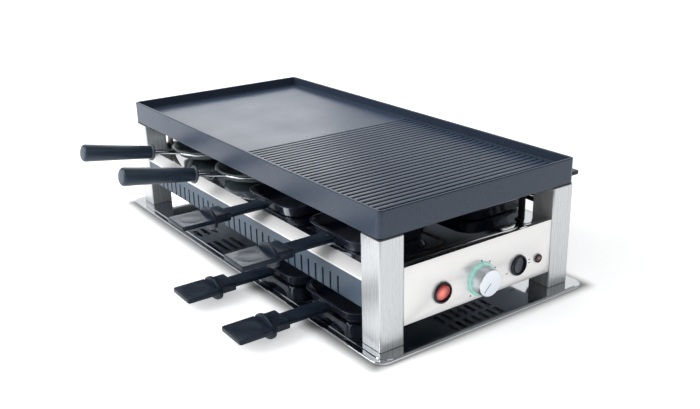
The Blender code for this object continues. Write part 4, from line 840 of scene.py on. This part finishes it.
def gripShape():
    size = gripSizes
    bm = bmesh.new()
    verts = block(bm, (-size["half"], -size["tip"], size["low"]),
                  (size["half"], -size["guard"], size["high"]))
    tips = [edge for edge in edgesAlong(edgesOf(verts), "Z")
            if edge.verts[0].co.y < -size["tip"] + tiny]
    soften(bm, tips, size["corner"], 5)
    soften(bm, sharpEdges(bm, 60.0), size["edge"], 3)
    bm.normal_update()
    face = topFaces(bm, size["high"])
    longest = [edge for edge in face[0].edges if edge.calc_length() > size["half"]]
    bmesh.ops.subdivide_edges(bm, edges=longest, cuts=9)
    inset(bm, face, size["border"])
    # Rings that turn from the outline into an oval and go down into a shallow dish
    middle = (size["tip"] + size["guard"]) / 2
    radii = (size["half"] * size["ovalX"], (size["tip"] - size["guard"]) * size["ovalY"])
    for share, sink in size["rings"]:
        inset(bm, face, size["ringInset"])
        for vert in face[0].verts:
            way = math.atan2((vert.co.y + middle) / radii[1], vert.co.x / radii[0])
            vert.co.x = radii[0] * share * math.cos(way)
            vert.co.y = radii[1] * share * math.sin(way) - middle
            vert.co.z = size["high"] - size["dish"] * sink
    verts = bmesh.ops.create_cone(bm, cap_ends=True, segments=56, radius1=1, radius2=1,
                                  depth=size["guardThick"])["verts"]
    halfHeight = (size["guardHigh"] - size["guardLow"]) / 2
    bmesh.ops.scale(bm, vec=(size["half"], halfHeight, 1), verts=verts)
    move(bm, Matrix.Translation((0, -size["guard"] + size["guardThick"] / 2,
                                 size["guardLow"] + halfHeight))
         @ Matrix.Rotation(math.pi / 2, 4, "X"), verts)
    soften(bm, [edge for edge in edgesOf(verts) if edge.calc_face_angle(0.0) > 1.0],
           size["edge"] * size["guardRound"], 3)
    # The socket and the shaft, each set a little way into the one before
    for part, near in (("socket", size["guard"] - size["overlap"]),
                       ("shaft", size["socketEnd"] + size["overlap"])):
        half, low, high = (size[part + name] for name in ("Half", "Low", "High"))
        verts = block(bm, (-half, -near, low), (half, -size[part + "End"], high))
        soften(bm, edgesOf(verts), size[part + "Edge"], 4)
    faceOutwards(bm)
    return bm


def makePans():
    for number, (x, y, z, turn) in enumerate(panStations, 1):
        place = Matrix.Translation((x, y, z)) @ Matrix.Rotation(turn, 4, "Z")
        body = f"pan_{number}"
        bm = panBody(*panShape())
        faceOutwards(bm)
        move(bm, place)
        addPiece(f"pan_dish_{number}", bm, panFinish, body, (f"raclette_pan_{number}",),
                 smooth=45.0)
        bm = gripShape()
        move(bm, place)
        addPiece(f"pan_grip_{number}", bm, gripFinish, body, (f"pan_handle_{number}",),
                 smooth=24.0)
        refined(f"pan_screw_{number}", screwFinish, panSizes["screwEdge"])


# Mini woks: a spun bowl in a chromed wire frame, with a round handle and its collar
wokSizes = {"rim": 0.0470, "flange": 0.0022, "depth": 0.0165, "sheet": 0.0010, "base": 0.0220,
            "shoulder": 0.0390, "shoulderHeight": 0.0062, "wire": 0.0013, "tilt": 10.0,
            "handleStart": 0.0780, "handleLength": 0.0900, "spread": 0.0050, "root": 0.0110,
            "prong": 0.0200, "tip": 0.0105, "neck": 0.0080, "collar": 0.0104,
            "collarLength": 0.0034, "gap": 0.0003, "bend": 0.0012, "edge": 0.0003,
            "lipIn": 0.0002, "lipDrop": 0.0004, "neckGap": 0.0008, "neckSink": 0.0010,
            "gripEdge": 0.0008, "collarFront": 0.0010, "collarBack": 0.0006,
            "gripEnd": ((0, 0.0040), (0.0004, 0.0016), (0.0022, 0))}   # inwards, before the end
wokStations = [(-0.1850, -0.0615, 0.0741), (-0.0670, -0.0600, 0.0741)]


def wokFramePoints(place):
    size = wokSizes
    ringZ = size["depth"] - size["sheet"] - size["wire"] - size["gap"]
    share = (ringZ + size["wire"] - size["shoulderHeight"]) / (
        size["depth"] - size["sheet"] - size["shoulderHeight"])
    radius = size["shoulder"] + (size["rim"] - size["flange"] - size["shoulder"]) * share
    radius += size["wire"] + size["gap"]
    rootAngle = math.asin(size["root"] / radius)
    rootY = -radius * math.cos(rootAngle)
    slope = math.tan(math.radians(size["tilt"]))
    endY = -size["handleStart"] - size["prong"] * math.cos(math.radians(size["tilt"]))
    collarY = -size["handleStart"] + size["wire"]
    points = [(size["spread"], endY, ringZ + (rootY - endY) * slope),
              (size["spread"], collarY, ringZ + (rootY - collarY) * slope)]
    steps = 72
    for step in range(steps + 1):
        angle = -math.pi / 2 + rootAngle + (2 * math.pi - 2 * rootAngle) * step / steps
        points.append((radius * math.cos(angle), radius * math.sin(angle), ringZ))
    points += [(-x, y, z) for x, y, z in (points[1], points[0])]
    return [Vector(point) + place for point in points], points[1][2]


def wokBowl(number, place, body):
    size = wokSizes
    rim, top, sheet, base = (size[key] for key in ("rim", "depth", "sheet", "base"))
    shoulder, shoulderHeight, lipIn = size["shoulder"], size["shoulderHeight"], size["lipIn"]
    wall = rim - size["flange"]
    bm = spun([(0, sheet), (base, sheet), (shoulder - sheet, shoulderHeight + sheet / 2),
               (wall - sheet, top - lipIn), (wall, top), (rim - size["edge"], top),
               (rim, top - size["lipDrop"]), (rim - lipIn, top - sheet), (wall, top - sheet),
               (shoulder, shoulderHeight), (base, 0), (0, 0)], 80)
    soften(bm, sharpEdges(bm, 12.0), size["bend"], 2)
    bmesh.ops.translate(bm, vec=place, verts=bm.verts)
    addPiece(f"wok_dish_{number}", bm, wokFinish, body, (f"wok_bowl_{number}",),
             smooth=50.0)


def wokWire(number, points, body):
    curve = bpy.data.curves.new(f"wok_wire_{number}", "CURVE")
    curve.dimensions = "3D"
    curve.bevel_depth = wokSizes["wire"]
    curve.bevel_resolution = 4
    curve.use_fill_caps = True
    spline = curve.splines.new("POLY")
    spline.points.add(len(points) - 1)
    for target, point in zip(spline.points, points):
        target.co = (*point, 1)
    spline.use_smooth = True
    curve.materials.append(wireFinish)
    wire = newObject(f"wok_wire_{number}", curve)
    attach(wire, body)
    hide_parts(f"wok_frame_{number}")


def wokHandle(number, place, body):
    # Built down from the collar's face, then tilted up towards its end
    size = wokSizes
    tilt = Matrix.Translation(place + Vector((0, -size["handleStart"], 0)))
    tilt = tilt @ Matrix.Rotation(-math.pi / 2 - math.radians(size["tilt"]), 4, "X")
    neck, collar, edge = size["neck"], size["collar"], size["edge"]
    length, collarLength = size["handleLength"], size["collarLength"]
    neckLow = -collarLength - size["neckGap"]
    sunk = neckLow + size["neckSink"]
    bm = spun([(0, sunk), (neck - edge, sunk), (neck, neckLow)]
              + [(size["tip"] - inward, before - length) for inward, before in size["gripEnd"]]
              + [(0, -length)], 56)
    soften(bm, sharpEdges(bm, 20.0), size["gripEdge"], 3)
    move(bm, tilt)
    addPiece(f"wok_grip_{number}", bm, wokGripFinish, body, (f"wok_handle_{number}",),
             smooth=50.0)
    bm = spun([(0, 0), (collar - size["collarFront"], 0), (collar, -size["collarFront"]),
               (collar, size["collarBack"] - collarLength),
               (collar - size["collarBack"], -collarLength), (0, -collarLength)], 56)
    soften(bm, sharpEdges(bm, 30.0), edge, 2)
    move(bm, tilt)
    addPiece(f"wok_collar_{number}", bm, collarFinish, body, (), smooth=50.0)


def makeWoks():
    for number, station in enumerate(wokStations, 1):
        place, body = Vector(station), f"wok_{number}"
        wokBowl(number, place, body)
        points, collarZ = wokFramePoints(place)
        wokWire(number, points, body)
        wokHandle(number, place + Vector((0, 0, collarZ)), body)


# Floor, world and lamps
# The floor's glow and its base colour both fall off towards the tray's outline, a painted contact
# shadow; endFade draws that painted shadow in at the tray's ends
stageSizes = {"half": 3.0, "fill": 0.50, "glow": (0.003, 0.017, 0.0, 0.47),
              "glowColour": (0.98, 0.99, 1, 1), "shadowedFloorBase": (0.0, 0.012, 0.40, 0.98),
              "endFade": 0.005,
              "behind": (-0.815, 0.579, 0), "shade": 0.20, "near": 0.25, "far": 0.65}
lampPlan = [((-0.7, -1.9, 1.2), 1.6, 40.0), ((1.6, 0.4, 1.9), 1.4, 3.5),
            ((-1.9, 0.9, 1.0), 0.7, 5.0)]   # place, side and power of each
lampTarget = (0, 0, 0.08)


def seenStraight(tree):
    # One for rays that show the surroundings, nought for those that only light the object
    path = tree.nodes.new("ShaderNodeLightPath")
    total = path.outputs["Is Glossy Ray"]
    for name in ("Is Transmission Ray", "Is Camera Ray"):
        total = combined(tree, "MAXIMUM", total, path.outputs[name])
    return total


def paintedTrayShadow(tree, size):
    # Distance from the tray's outline, as a growing glow and a growing paleness of the floor; both
    # are lowest at the tray's edge, a painted shadow round the tray
    reach = tree.nodes.new("ShaderNodeTexCoord").outputs["Object"]
    for operation, other in (("ABSOLUTE", None),
                             ("SUBTRACT", (traySizes["halfX"] - size["endFade"],
                                           traySizes["halfY"], 0)),
                             ("MAXIMUM", (0, 0, 0)), ("LENGTH", None)):
        node = tree.nodes.new("ShaderNodeVectorMath")
        node.operation = operation
        if other:
            node.inputs[1].default_value = other
        tree.links.new(reach, node.inputs[0])
        reach = node.outputs["Value" if operation == "LENGTH" else "Vector"]
    return [ranged(tree, reach, *size[name]).outputs["Result"] for name in ("glow", "shadowedFloorBase")]


def makeFloor():
    size = stageSizes
    bm = bmesh.new()
    bmesh.ops.create_grid(bm, x_segments=1, y_segments=1, size=size["half"])
    mesh = bpy.data.meshes.new("floor")
    bm.to_mesh(mesh)
    bm.free()
    floor = newObject("floor", mesh)
    material = newMaterial("floor_white", (size["shadowedFloorBase"][3],) * 3, 0.9)
    tree = material.node_tree
    shader = tree.nodes["Principled BSDF"]
    shader.inputs["Specular IOR Level"].default_value = 0.0
    glow, shadowedFloorBase = paintedTrayShadow(tree, size)
    # Darker and glowing less near the tray: a painted contact shadow
    tree.links.new(shadowedFloorBase, shader.inputs["Base Color"])
    shader.inputs["Emission Color"].default_value = size["glowColour"]
    tree.links.new(combined(tree, "MULTIPLY", seenStraight(tree), glow),
                   shader.inputs["Emission Strength"])
    mesh.materials.append(material)


def makeBackdrop():
    # Reflections meet a white backdrop behind the grill and a dimmer room on the other sides
    size = stageSizes
    world = bpy.data.worlds.new("studio")
    bpy.context.scene.world = world
    world.use_nodes = True
    tree = world.node_tree
    background = tree.nodes["Background"]
    background.inputs["Color"].default_value = (1, 1, 1, 1)
    coordinates = tree.nodes.new("ShaderNodeTexCoord")
    along = tree.nodes.new("ShaderNodeVectorMath")
    along.operation = "DOT_PRODUCT"
    along.inputs[1].default_value = size["behind"]
    tree.links.new(coordinates.outputs["Generated"], along.inputs[0])
    room = ranged(tree, along.outputs["Value"], size["near"], size["far"], size["shade"], 1.0)
    room.interpolation_type = "SMOOTHSTEP"
    path = tree.nodes.new("ShaderNodeLightPath")
    white = combined(tree, "MAXIMUM", path.outputs["Is Camera Ray"], room.outputs["Result"])
    level = tree.nodes.new("ShaderNodeMapRange")
    level.inputs["To Min"].default_value = size["fill"]
    tree.links.new(white, level.inputs["To Max"])
    tree.links.new(seenStraight(tree), level.inputs["Value"])
    tree.links.new(level.outputs["Result"], background.inputs["Strength"])


def makeSoftboxes():
    for number, (place, side, power) in enumerate(lampPlan, 1):
        data = bpy.data.lights.new(f"softbox_{number}", "AREA")
        data.size = side
        data.energy = power
        lamp = newObject(f"softbox_{number}", data)
        lamp.location = place
        aim = Vector(lampTarget) - Vector(place)
        lamp.rotation_euler = aim.to_track_quat("-Z", "Y").to_euler()


placeCamera()
makePlate()
print("plate made")
makeTray()
makePosts()
makeHousing()
print("base and housing made")
makeSwitches()
makeKnob()
makeMarks()
makeLamp()
makeGland()
print("controls made")
makePans()
makeWoks()
print("pans and woks made")
makeFloor()
makeBackdrop()
makeSoftboxes()
print("stage made")
bpy.context.scene.view_settings.view_transform = "Standard"
